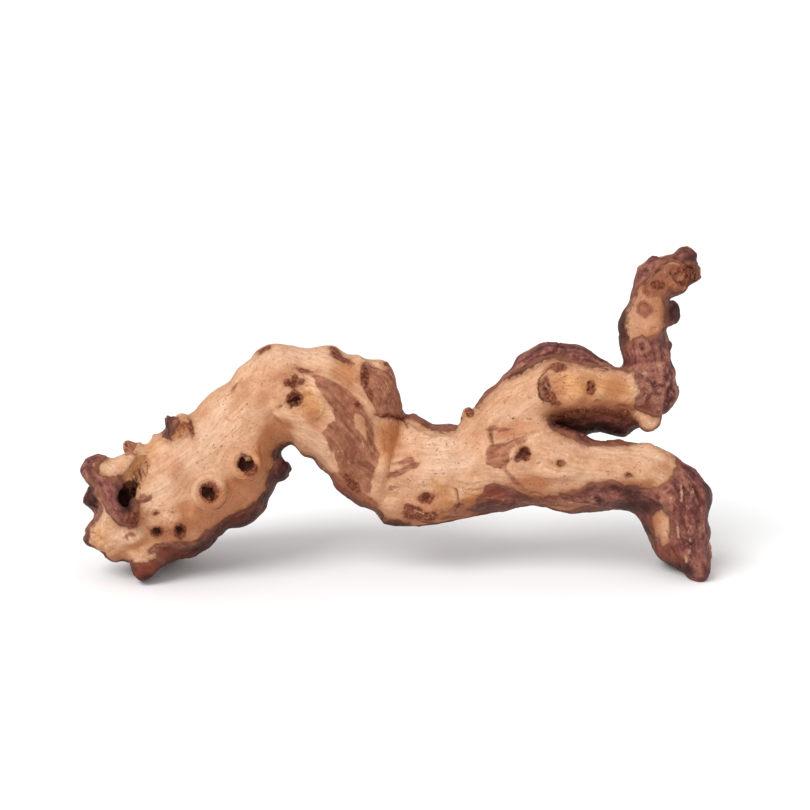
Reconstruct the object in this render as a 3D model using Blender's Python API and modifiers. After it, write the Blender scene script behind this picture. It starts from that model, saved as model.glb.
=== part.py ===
"""Mopani driftwood: a bent trunk that forks into an upper branch with a raised tip and a lower branch.

The outlines are laid out on the front view, in millimetres: across to the right and up from the ground,
as an eye in front of the wood and a little above it sees them. Depth is measured straight back from the
middle of the wood. A limb is a loft of chords, each from one edge of the limb to the other.
"""

import math

import bmesh
import bpy
from mathutils import Matrix, Vector

MM = 0.001

# The front view: where the eye stands, and how far it looks down.
VIEW_TILT = math.radians(15.0)
EYE_DISTANCE = 1440.0
EYE_ACROSS = 4.5
EYE_UP = 112.0
UP = Vector((0.0, math.sin(VIEW_TILT), math.cos(VIEW_TILT)))
AWAY = Vector((0.0, math.cos(VIEW_TILT), -math.sin(VIEW_TILT)))
EYE = Vector((EYE_ACROSS, 0.0, 0.0)) + UP * EYE_UP - AWAY * EYE_DISTANCE

# The surface is fused from the limbs and lumps, evened out, pitted and thinned.
VOXEL = 1.7
LOFT_AROUND = 30
LOFT_BETWEEN = 5
SECTION_SQUARENESS = 0.9
SMOOTH_STEPS = 5
RIPPLE_SIZE = 20.0
RIPPLE_HEIGHT = 2.6
RIPPLE_LEVEL = 0.33
FACE_SHARE = 0.056
FORK_GAP = 0.3
GROUND_LEVEL = 7.6
CUT_DEPTH = 160.0

# Each chord: one edge (across, up, depth), the other edge (across, up, depth), half the thickness.
ROOT_END_AND_ARCH = [
    ((-200, 33, -16), (-195, 22, -18), 7),
    ((-192, 45, -14), (-183, 13, -16), 15),
    ((-185, 64, -8), (-171, 12, -12), 24),
    ((-172, 81, -6), (-156, 11, -8), 31),
    ((-157, 89, -4), (-139, 14, -6), 35),
    ((-143, 100, -2), (-121, 22, -4), 36),
    ((-130, 109, 0), (-104, 34, -2), 35),
    ((-118, 120, 2), (-88, 43, 1), 33),
    ((-106, 130, 4), (-79, 61, 4), 32),
    ((-98, 139, 4), (-76, 78, 5), 31),
    ((-89, 148, 4), (-72, 86, 4), 31),
    ((-78, 151, 4), (-66, 88, -4), 31),
    ((-60, 148, 4), (-60, 80, -10), 30),
    ((-42, 150, 4), (-53, 77, -12), 29),
    ((-25, 142, 6), (-44, 66, -12), 27),
    ((-7, 140.5, 8), (-37, 57, -11), 26),
    ((-0.5, 124.5, 10), (-29, 50, -10), 25),
    ((3, 107, 10), (-21, 46, -9), 24),
    ((-2, 90, 8), (-13, 42, -8), 20),
    ((-6, 74, 4), (-10, 52, -4), 12),
]
WAIST = [
    ((-20, 92, 4), (-19, 60, -4), 12),
    ((-6, 101, 8), (-10, 36, -6), 20),
    ((8, 107, 10), (2, 33.5, -5), 24),
    ((20, 101, 10), (15, 35, -5), 26),
    ((32, 98.5, 8), (31, 38, -5), 26),
    ((44, 99, 5), (47, 41, -4), 26),
    ((57, 108, 3), (60, 43, -4), 25),
    ((70, 108, 0), (72, 46, -4), 23),
    ((84, 100, 0), (84, 54, -4), 16),
]
LOWER_BRANCH = [
    ((46, 92, -4), (52, 50, -4), 20),
    ((68, 101, -6), (68, 46, -4), 25),
    ((92, 102, -8), (88, 49, -5), 26),
    ((110, 96, -8), (111, 43.5, -6), 24),
    ((128, 91, -8), (128, 44.5, -6), 22),
    ((145, 88.5, -8), (142, 46, -6), 21),
    ((161, 87.5, -8), (152, 43, -5), 21),
    ((175, 81, -8), (158, 34, -4), 22),
    ((188, 71, -6), (161, 27, -3), 24),
    ((200, 58, -4), (165, 18, -2), 26),
    ((197, 43, -2), (170, 12, -2), 27),
    ((199, 30, -1), (177, 9, -2), 28),
    ((199, 14, 0), (184, 4, -1), 26),
    ((197, 5, 0), (190, 0, 0), 22),
]
UPPER_BRANCH = [
    ((40, 96, 2), (62, 60, 0), 18),
    ((52, 110, 3), (84, 82, 2), 21),
    ((63, 121, 4), (94, 99, 3), 21),
    ((78, 131, 4), (102, 103, 4), 20),
    ((96, 141, 4), (110, 103, 4), 20),
    ((112, 139, 4), (120, 105, 4), 19),
    ((128, 136, 4), (132, 106, 4), 18),
    ((142, 135, 5), (146, 104, 5), 17),
    ((156, 133, 6), (158, 104, 6), 16),
    ((168, 130, 8), (170, 107, 8), 14),
    ((177, 122, 9), (175, 112, 8), 9),
]
BARK_HUMP = [
    ((46, 106, 12), (56, 98, 12), 8),
    ((55, 119, 15), (70, 110, 14), 13),
    ((68, 131, 18), (82, 118, 16), 16),
    ((81, 147, 20), (92, 122, 18), 18),
    ((96, 151.5, 21), (101, 125, 19), 19),
    ((112, 150.5, 21), (112, 124, 19), 18),
    ((126, 145, 20), (124, 122, 19), 17),
    ((138, 138, 19), (137, 119, 18), 15),
    ((149, 136, 17), (150, 116, 17), 12),
    ((160, 130, 14), (160, 116, 14), 8),
]
BRANCH_UNDERSIDE = [
    ((95, 112, 10), (97, 101, 12), 9),
    ((106, 113, 12), (108, 96, 15), 13),
    ((118, 113, 13), (119, 93, 16), 15),
    ((131, 113, 13), (133, 95, 16), 15),
    ((142, 112, 13), (145, 92, 16), 14),
    ((152, 112, 12), (154, 98, 14), 11),
    ((160, 112, 10), (161, 104, 10), 7),
]
RAISED_TIP = [
    ((145, 118, 10), (172, 110, 9), 14),
    ((147, 134, 11), (179, 122, 11), 16),
    ((145, 146, 12), (175, 139, 12), 15),
    ((142, 157, 13), (172, 150, 13), 14),
    ((142, 166, 13), (171, 160, 14), 14),
    ((148, 180, 12), (171, 173, 14), 13),
    ((151, 191, 11), (174, 181, 13), 12),
    ((154, 201, 10), (180, 183, 12), 11),
    ((162, 207, 9), (187, 188, 11), 11),
    ((173, 208, 8), (191, 193, 9), 10),
    ((183, 212, 7), (191, 201, 8), 7),
]
DOWNWARD_STUB = [
    ((150, 112, -2), (168, 116, 0), 8),
    ((153, 102, -4), (168, 107, -2), 8),
    ((158, 95.5, -6), (167.5, 100, -5), 6),
]
HOOK_ARM = [
    ((-160, 82, -20), (-158, 66, -20), 10),
    ((-172, 81, -24), (-170, 66, -24), 10),
    ((-183, 78, -26), (-180, 65, -27), 9.5),
    ((-193, 79, -26), (-188, 65, -28), 9),
    ((-200, 76, -24), (-195, 66, -26), 7),
]
HOOK = [
    ((-200, 77, -22), (-190, 80, -22), 7),
    ((-203, 69, -25), (-185, 76, -25), 9.5),
    ((-197, 61, -30), (-180, 70, -31), 9.5),
    ((-191, 52, -35), (-174, 60, -36), 9),
    ((-185, 44, -38), (-168, 51, -40), 8.5),
    ((-178, 37, -38), (-165, 43, -40), 8),
    ((-171, 32, -34), (-166, 37, -35), 5),
]
DARK_SLIVER = [
    ((-196, 61, -2), (-190, 58, -4), 5),
    ((-202, 52, 0), (-191, 51, -4), 7),
    ((-199, 47, -2), (-189, 44, -8), 7),
    ((-194, 39, -8), (-187, 35, -12), 7),
    ((-201, 31, -12), (-188, 28, -14), 6),
    ((-199, 23, -15), (-190, 22, -16), 6),
]
TUBE_STUB = [
    ((-146, 100, 8), (-132, 90, 8), 6),
    ((-149, 102, -4), (-134, 90, -4), 8),
    ((-148.5, 105, -14), (-133, 91, -14), 8),
    ((-147, 105, -24), (-131, 92, -24), 7.5),
]
ROOT_FOOT = [
    ((-172, 27, -20), (-143, 27, -18), 15),
    ((-171, 19, -22), (-144, 18, -20), 15),
    ((-170, 12, -24), (-149, 10.5, -22), 14),
    ((-169, 5, -25), (-154, 4, -24), 12.5),
    ((-166.5, -3, -25), (-157.5, -3, -25), 11),
]
FLANGE_TEETH = [
    ((-196, 33, -17), (-190, 24, -17), 8),
    ((-201, 29, -17), (-196, 21.5, -17), 5),
    ((-202.5, 27, -17), (-199.5, 22.5, -17), 3),
]
BACK_RIDGE = [
    ((-176, 54, 20), (-170, 32, 20), 6),
    ((-150, 76, 29), (-136, 48, 29), 9),
    ((-124, 96, 32), (-104, 66, 32), 9),
    ((-98, 116, 33), (-80, 88, 33), 8),
    ((-66, 132, 31), (-56, 104, 31), 8),
    ((-38, 128, 30), (-34, 98, 28), 8),
    ((-16, 114, 26), (-14, 80, 24), 9),
    ((10, 94, 24), (8, 60, 21), 10),
    ((40, 88, 24), (40, 58, 20), 9),
    ((70, 84, 20), (70, 60, 17), 8),
    ((100, 80, 16), (100, 58, 14), 7),
]
BACK_SNAG = [
    ((-44, 112, 22), (-28, 100, 22), 11),
    ((-42, 118, 34), (-27, 106, 35), 10),
    ((-38, 124, 44), (-26, 114, 45), 7),
]
SMALL_STUB = [
    ((-163, 87, -6), (-162, 76, -6), 6),
    ((-170, 89, -8), (-169, 80, -8), 5),
    ((-176, 89, -10), (-175, 80.5, -10), 4),
]
LIMBS = [
    ROOT_END_AND_ARCH,
    WAIST,
    LOWER_BRANCH,
    UPPER_BRANCH,
    BARK_HUMP,
    BRANCH_UNDERSIDE,
    RAISED_TIP,
    DOWNWARD_STUB,
    HOOK_ARM,
    HOOK,
    DARK_SLIVER,
    TUBE_STUB,
    SMALL_STUB,
    ROOT_FOOT,
    FLANGE_TEETH,
    BACK_RIDGE,
    BACK_SNAG,
]

# Each lump: centre (across, up, depth), half sizes (across, up, deep), turn in the front view in degrees.
LUMPS = [
    ((-152, 22.5, 18), (15, 14, 14), 0),
    ((-120, 27, 2), (6, 4.5, 12), 30),
    ((-75, 71, 5), (6.5, 7.5, 9), 20),
    ((-68, 116, -24), (14, 16, 6), 0),
    ((-121, 57, -34), (12, 12, 5), 0),
    ((-98, 75, -28), (11, 11, 5), 0),
    ((45, 104, 2), (5.5, 7, 8), 0),
    ((174, 171, 19), (7, 8, 7), 0),
    ((146, 138, 12), (2.6, 3.4, 4), 0),
    ((172.5, 150.5, 14), (3, 3, 5), 0),
    ((191, 197, 9), (4, 5, 5), 20),
    ((180, 190, 0), (7, 6, 6), 30),
    ((184, 208, 6), (6, 5.5, 6), 0),
    ((190, 18, 20), (12, 15, 14), 0),
    ((192, 12, -16), (8, 12, 14), 0),
    ((-138, 97, -21), (8, 8.5, 10), 0),
    ((-98, 42, -2), (9, 6, 20), 30),
    ((-168, 30, -26), (12, 10, 14), 0),
    ((-150, 42, -36), (13, 12, 5), 0),
    ((-8, 40, -8), (6, 5.5, 10), 0),
    ((20, 74, -17), (24, 22, 9), 10),
    ((20, 49, -18), (17, 12, 9), 0),
    ((-14, 123, -9), (12, 13, 12), 0),
    ((-26, 133, -8), (10, 8, 12), 0),
    ((-40, 142.5, 2), (9, 6, 14), 0),
    ((-92, 135, -2), (8, 8, 12), 40),
    ((66, 78, -20), (16, 15, 8), 0),
    ((100, 76, -25), (24, 13, 7), -4),
    ((150, 72, -22), (20, 12, 8), -14),
    ((106, 124, -12), (14, 14, 6), 0),
    ((160, 158, 2), (9, 16, 5), 0),
    ((186, 44, -22), (8, 22, 7), 6),
    ((-75, 71, -8), (5.5, 7, 8), 10),
    ((-110, 60, 34), (13, 15, 7), -30),
    ((128, 66, 12), (20, 10, 10), 0),
]

# Each pit is a hollow left by a dead knot or by rot, given as a lump is.
PITS = [
    ((-98, 75, -35), (5.5, 6, 8), 0),
    ((-121, 56, -42), (5, 5.5, 8), 0),
    ((-154, 31, -40), (3.2, 2.4, 5), 30),
    ((-139, 32, -42), (2.8, 3.6, 5), -20),
    ((-166, 70, -38), (7, 13, 15), -18),
    ((-173, 54, -34), (5.5, 10, 16), -20),
    ((-137, 97, -31), (4, 4.5, 6), 0),
    ((-178, 87, -10), (3, 2.5, 3), 0),
    ((-67, 125, -32), (5, 3.5, 6), 0),
    ((-66, 116, -33), (4, 4, 6), 0),
    ((94, 122, -19), (3.6, 12, 8), 6),
    ((100, 134, -18), (4, 4, 5), 0),
    ((128, 113.5, -17), (2.5, 2.5, 4), 0),
    ((81, 81, -33), (5, 5, 6), 0),
    ((17, 52, -31), (4, 3, 4), 0),
    ((10, 43, -28), (6, 4, 4), 0),
    ((178, 196, -4), (5, 4, 5), 30),
    ((156, 174, -5), (5, 6, 3), 0),
    ((-130, 62, 44), (7, 7, 9), 0),
    ((-62, 118, 44), (5, 8, 8), 20),
    ((-32, 118, 50), (3.5, 3.5, 9), 0),
    ((24, 76, 36), (6, 7, 8), 0),
    ((104, 122, 42), (6, 7, 8), 0),
    ((170, 50, 32), (6, 8, 9), 0),
]

# The outlines in the front view inside which each piece lies; they meet at the forks.
FORK_LEFT = (50, 109.5)
FORK_DOWN = (74, 104.5)
CROTCH = [(96, 101.5), (108, 96.5), (119, 93), (126, 91.8), (150, 90), (172, 90.5), (230, 96)]
REGIONS = {
    "trunk": [(-230, -30), (76, -30), FORK_DOWN, FORK_LEFT, (50, 240), (-230, 240)],
    "lower_branch": [(76, -30), (230, -30), *CROTCH[::-1], FORK_DOWN],
    "upper_branch": [FORK_LEFT, FORK_DOWN, *CROTCH, (230, 137), (142, 137), (142, 240), (50, 240)],
    "raised_tip": [(142, 137), (230, 137), (230, 240), (142, 240)],
}
COLOURS = {
    "trunk": (0.66, 0.42, 0.23),
    "lower_branch": (0.62, 0.39, 0.22),
    "upper_branch": (0.58, 0.35, 0.19),
    "raised_tip": (0.40, 0.22, 0.14),
}
WOOD_ROUGHNESS = 0.75


def seen_at(across, up, depth):
    """The point at this depth that the front view shows at this place, in metres."""
    on_view = Vector((across, 0.0, 0.0)) + UP * up
    ray = on_view - EYE
    return (EYE + ray * ((depth - EYE.y) / ray.y)) * MM


def clear_scene():
    for obj in list(bpy.data.objects):
        bpy.data.objects.remove(obj)


def new_collection(name):
    collection = bpy.data.collections.new(name)
    bpy.context.scene.collection.children.link(collection)
    return collection


def add_mesh(name, bm, collection):
    """A new object that holds what bm holds."""
    mesh = bpy.data.meshes.new(name)
    bm.to_mesh(mesh)
    bm.free()
    obj = bpy.data.objects.new(name, mesh)
    collection.objects.link(obj)
    return obj


def between(before, start, end, after, t):
    """The Catmull-Rom curve from start to end, for single numbers."""
    bend = 2 * before - 5 * start + 4 * end - after
    twist = 3 * (start - end) + after - before
    return start + 0.5 * t * (end - before + t * (bend + t * twist))


def smooth_chords(chords):
    """The chords with LOFT_BETWEEN steps from each to the next, as rows of seven numbers."""
    rows = [(*one, *other, half) for one, other, half in chords]
    rows = [rows[0], *rows, rows[-1]]
    steps = []
    for i in range(1, len(rows) - 2):
        for step in range(LOFT_BETWEEN):
            around = zip(*rows[i - 1 : i + 3])
            steps.append([between(*numbers, step / LOFT_BETWEEN) for numbers in around])
    return [*steps, rows[-1]]


def rounded(value):
    """A cosine or sine drawn out towards the corners, for a section fuller than an ellipse."""
    return math.copysign(abs(value) ** SECTION_SQUARENESS, value)


def loft(bm, chords):
    """Adds a closed limb whose sections run from edge to edge of each chord."""
    rings = []
    for row in smooth_chords(chords):
        one, other = seen_at(*row[0:3]), seen_at(*row[3:6])
        middle, reach, deep = (one + other) / 2, (one - other) / 2, AWAY * row[6] * MM
        ring = []
        for k in range(LOFT_AROUND):
            angle = 2 * math.pi * k / LOFT_AROUND
            spot = middle + reach * rounded(math.cos(angle)) + deep * rounded(math.sin(angle))
            ring.append(bm.verts.new(spot))
        rings.append(ring)
    for ring, following in zip(rings, rings[1:]):
        for k in range(LOFT_AROUND):
            after = (k + 1) % LOFT_AROUND
            bm.faces.new((ring[k], ring[after], following[after], following[k]))
    bm.faces.new(rings[0])
    bm.faces.new(rings[-1])


def ball(bm, centre, half_sizes, turn, around=20):
    """Adds an ellipsoid that stands square to the front view, turned in it."""
    squash = Matrix.Diagonal((half_sizes[0] * MM, half_sizes[2] * MM, half_sizes[1] * MM, 1.0))
    spin = Matrix.Rotation(math.radians(-turn), 4, "Y")
    lean = Matrix.Rotation(-VIEW_TILT, 4, "X")
    place = Matrix.Translation(seen_at(*centre)) @ lean @ spin @ squash
    bmesh.ops.create_uvsphere(bm, u_segments=around, v_segments=around * 2 // 3, radius=1.0, matrix=place)


def baked(obj):
    """Gives the object its evaluated mesh and drops its modifiers."""
    graph = bpy.context.evaluated_depsgraph_get()
    mesh = bpy.data.meshes.new_from_object(obj.evaluated_get(graph))
    obj.modifiers.clear()
    obj.data = mesh


def fuse(obj):
    """Makes one skin of the overlapping limbs and lumps, evens it out and ripples it."""
    remesh = obj.modifiers.new("fuse", "REMESH")
    remesh.mode = "VOXEL"
    remesh.voxel_size = VOXEL * MM
    even = obj.modifiers.new("even_out", "SMOOTH")
    even.factor = 0.5
    even.iterations = SMOOTH_STEPS
    clouds = bpy.data.textures.new("growth_ripple", "CLOUDS")
    clouds.noise_scale = RIPPLE_SIZE * MM
    clouds.noise_depth = 1
    ripple = obj.modifiers.new("ripple", "DISPLACE")
    ripple.texture = clouds
    ripple.strength = RIPPLE_HEIGHT * MM
    ripple.mid_level = RIPPLE_LEVEL
    baked(obj)


def cut(obj, cutter, operation, overlapping=False):
    """A Boolean on obj; overlapping says that the cutter's own bodies run into each other."""
    boolean = obj.modifiers.new(cutter.name, "BOOLEAN")
    boolean.operation = operation
    boolean.object = cutter
    boolean.use_self = overlapping
    cutter.hide_render = True
    cutter.display_type = "WIRE"


def thin_out(obj):
    thin = obj.modifiers.new("thin_out", "DECIMATE")
    thin.ratio = FACE_SHARE
    thin.use_collapse_triangulate = True
    baked(obj)


def region_cutter(name, outline, collection):
    """A block through the whole depth with this outline in the front view, less half the fork gap."""
    bm = bmesh.new()
    rings = []
    for depth in (-CUT_DEPTH, CUT_DEPTH):
        rings.append([bm.verts.new(seen_at(across, up, depth)) for across, up in outline])
    front, back = rings
    bm.faces.new(front)
    bm.faces.new(back[::-1])
    for k in range(len(outline)):
        after = (k + 1) % len(outline)
        bm.faces.new((front[k], back[k], back[after], front[after]))
    bmesh.ops.recalc_face_normals(bm, faces=bm.faces)
    bmesh.ops.triangulate(bm, faces=bm.faces)
    cutter = add_mesh(name + "_region", bm, collection)
    shrink = cutter.modifiers.new("fork_gap", "DISPLACE")
    shrink.strength = -FORK_GAP / 2 * MM
    shrink.mid_level = 0.0
    baked(cutter)
    return cutter


def ground_cutter(collection):
    """The block under the ground, which leaves the feet their flats."""
    side, height = 0.6, 0.1
    bm = bmesh.new()
    middle = Matrix.Translation((0.0, 0.0, GROUND_LEVEL * MM - height / 2))
    bmesh.ops.create_cube(bm, size=1.0, matrix=middle @ Matrix.Diagonal((side, side, height, 1.0)))
    return add_mesh("ground", bm, collection)


def keep_largest(obj):
    """Drops the crumbs that a cut leaves of a neighbouring limb."""
    bm = bmesh.new()
    bm.from_mesh(obj.data)
    left = set(bm.verts)
    bodies = []
    while left:
        body, edge = set(), [left.pop()]
        while edge:
            vertex = edge.pop()
            body.add(vertex)
            near = [link.other_vert(vertex) for link in vertex.link_edges]
            fresh = [other for other in near if other in left]
            left.difference_update(fresh)
            edge.extend(fresh)
        bodies.append(body)
    bodies.sort(key=len)
    for body in bodies[:-1]:
        bmesh.ops.delete(bm, geom=list(body), context="VERTS")
    bm.to_mesh(obj.data)
    bm.free()


def wood_material(name, colour):
    material = bpy.data.materials.new(name)
    material.use_nodes = True
    shader = material.node_tree.nodes["Principled BSDF"]
    shader.inputs["Base Color"].default_value = (*colour, 1.0)
    shader.inputs["Roughness"].default_value = WOOD_ROUGHNESS
    shader.inputs["Metallic"].default_value = 0.0
    return material


def set_down(pieces, helpers):
    """Moves everything together so that the wood stands on the ground, centred on the origin."""
    corners = [vertex.co for piece in pieces for vertex in piece.data.vertices]
    low = Vector([min(corner[axis] for corner in corners) for axis in range(3)])
    high = Vector([max(corner[axis] for corner in corners) for axis in range(3)])
    move = Vector((-(low.x + high.x) / 2, -(low.y + high.y) / 2, -low.z))
    for obj in [*pieces, *helpers]:
        obj.data.transform(Matrix.Translation(move))
    return move


def build():
    clear_scene()
    wood = new_collection("mopani_wood")
    cutters = new_collection("cutters")
    skin = bmesh.new()
    for chords in LIMBS:
        loft(skin, chords)
    for centre, half_sizes, turn in LUMPS:
        ball(skin, centre, half_sizes, turn)
    bmesh.ops.recalc_face_normals(skin, faces=skin.faces)
    whole = add_mesh("whole", skin, cutters)
    fuse(whole)
    thin_out(whole)
    hollows = bmesh.new()
    for centre, half_sizes, turn in PITS:
        ball(hollows, centre, half_sizes, turn, around=12)
    cut(whole, add_mesh("hollows", hollows, cutters), "DIFFERENCE", overlapping=True)
    baked(whole)
    ground = ground_cutter(cutters)
    pieces = []
    for name, outline in REGIONS.items():
        piece = bpy.data.objects.new(name, whole.data.copy())
        wood.objects.link(piece)
        cut(piece, region_cutter(name, outline, cutters), "INTERSECT")
        cut(piece, ground, "DIFFERENCE")
        baked(piece)
        keep_largest(piece)
        piece.data.materials.clear()
        piece.data.materials.append(wood_material(name + "_wood", COLOURS[name]))
        piece.data.shade_smooth()
        piece.data.set_sharp_from_angle(angle=math.radians(50))
        pieces.append(piece)
    bpy.data.objects.remove(whole)
    return set_down(pieces, cutters.objects)


build()
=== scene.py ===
"""Mopani driftwood: the wood's surface, its bark, knots, cracks and grain, laid over the plain solids."""

import math
from types import SimpleNamespace

import bpy
import numpy as np
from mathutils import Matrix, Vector


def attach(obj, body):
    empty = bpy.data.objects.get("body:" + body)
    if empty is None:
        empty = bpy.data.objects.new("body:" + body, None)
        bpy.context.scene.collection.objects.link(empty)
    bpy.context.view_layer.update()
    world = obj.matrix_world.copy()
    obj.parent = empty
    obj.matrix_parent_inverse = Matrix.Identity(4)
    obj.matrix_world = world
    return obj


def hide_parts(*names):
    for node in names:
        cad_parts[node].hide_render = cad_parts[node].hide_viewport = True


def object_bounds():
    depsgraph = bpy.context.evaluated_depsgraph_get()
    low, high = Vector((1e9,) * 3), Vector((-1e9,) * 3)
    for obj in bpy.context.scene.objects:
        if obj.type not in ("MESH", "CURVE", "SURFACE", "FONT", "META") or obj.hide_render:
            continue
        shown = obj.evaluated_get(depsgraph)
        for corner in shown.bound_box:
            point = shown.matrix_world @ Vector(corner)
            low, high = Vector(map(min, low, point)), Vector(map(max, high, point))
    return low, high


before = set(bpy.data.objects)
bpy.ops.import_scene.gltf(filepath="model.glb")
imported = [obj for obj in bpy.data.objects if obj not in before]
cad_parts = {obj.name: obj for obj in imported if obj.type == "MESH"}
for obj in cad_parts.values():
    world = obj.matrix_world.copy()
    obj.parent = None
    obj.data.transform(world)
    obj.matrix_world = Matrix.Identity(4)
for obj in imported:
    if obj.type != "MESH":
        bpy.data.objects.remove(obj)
cad_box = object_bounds()

MM = 0.001
# The fine skin: remesh cell, swell that closes the fork gaps, what is taken off again, smoothing steps.
SKIN_CELL = 1.2
SWELL = 0.45
SETTLE = 0.55
EVEN_STEPS = 6
# How far the finished skin stays inside the box of the solids.
BOX_INSET = 0.02

# The front view, as the solids are laid out: millimetres across and up, seen from a little above.
VIEW_TILT = math.radians(15.0)
EYE_DISTANCE = 1440.0
EYE_ACROSS = 4.5
EYE_UP = 112.0
SET_DOWN = Vector((-2.481, -0.624, -7.6))
UP = Vector((0.0, math.sin(VIEW_TILT), math.cos(VIEW_TILT)))
AWAY = Vector((0.0, math.cos(VIEW_TILT), -math.sin(VIEW_TILT)))
EYE = Vector((EYE_ACROSS, 0.0, 0.0)) + UP * EYE_UP - AWAY * EYE_DISTANCE

# The run of the fibres: middle lines of the trunk with the lower branch, the upper branch and the hook.
TRUNK_LINE = [
    (-212, 26), (-190, 36), (-165, 49), (-138, 62), (-112, 82), (-96, 103), (-78, 115), (-58, 114),
    (-42, 106), (-28, 92), (-16, 77), (2, 70), (24, 69), (46, 71), (68, 76), (92, 76), (116, 70),
    (140, 67), (158, 61), (172, 49), (180, 34), (186, 16), (192, -4),
]
BRANCH_LINE = [
    (46, 71), (58, 90), (74, 107), (92, 120), (112, 125), (132, 121), (150, 118), (162, 124), (160, 140),
    (157, 158), (160, 176), (165, 191), (176, 199), (190, 209),
]
HOOK_LINE = [(-200, 76), (-192, 67), (-184, 54), (-175, 44), (-166, 33)]
# Each line with the length along the fibres at its start.
FIBRE_LINES = [(TRUNK_LINE, 0.0), (BRANCH_LINE, 283.0), (HOOK_LINE, -40.0)]

# Each knot: middle across and up, radius of the collar, radius of the hole, height of the collar, depth of
# the hole, and how ragged the hole's edge is.
KNOTS = [
    (-97.2, 74.6, 10.5, 5.9, 1.3, 3, 0.14), (-121, 56.6, 12, 3.9, 1.9, 3, 0.6),
    (-154.2, 30.7, 5.5, 2.5, 0.5, 3, 0.35), (-139.3, 32, 6.5, 2.7, 0.6, 3.2, 0.4),
    (-65.9, 115.8, 7.5, 2.5, 1, 2, 0.85), (80, 80.5, 8, 3.8, 0.9, 1.5, 0.85),
    (17.9, 52.5, 6, 2.6, 0.4, 1.6, 0.45), (127.4, 114.2, 3.6, 1.7, 0.3, 0.9, 0.1),
    (90.6, 74.3, 2.6, 1.5, 0.1, 1.4, 0.3), (103.7, 74.6, 3.4, 1.7, 0.2, 0.9, 0.2),
    (147.8, 67.2, 3.2, 1.3, 0.3, 0.8, 0.3), (163.4, 160.4, 4.6, 2.2, 0.4, 0.9, 0.15),
    (7.7, 63, 2.2, 0.9, 0.1, 1, 0.1), (-45.5, 82.8, 4, 1, 0.4, 0.7, 0.2),
    (-26, 111.8, 3.6, 1.3, 0.3, 0.9, 0.4), (-155.5, 43.2, 3.4, 1.2, 0.7, 1.2, 0.3),
    (-174.7, 86.4, 3.6, 1.9, 0.3, 2, 0.1), (-168.6, 57.4, 2.6, 1.3, 0.2, 1.6, 0.35),
    (-94, 96.6, 2.4, 0.8, 0.2, 0.7, 0.2), (122.2, 126, 2, 1, 0.2, 1.3, 0.2),
    (124.6, 123.6, 2, 1, 0.2, 1.3, 0.2), (121.8, 121.6, 2.2, 1.2, 0.2, 1.4, 0.2),
    (125.6, 120.8, 1.6, 0.7, 0.1, 0.9, 0.2), (107.2, 130.5, 1.8, 0.8, 0.1, 0.9, 0.1),
    (157.7, 173.2, 5.5, 0.9, 0.25, 0.5, 0.1),
]
# Small clean ends of dead wood left standing in a hole: middle, radius, height.
PLUGS = [(-96.6, 77.6, 2.1, 3.4), (180.4, 193.8, 3, 2), (-137.6, 95, 2.2, 1.2)]
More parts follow.
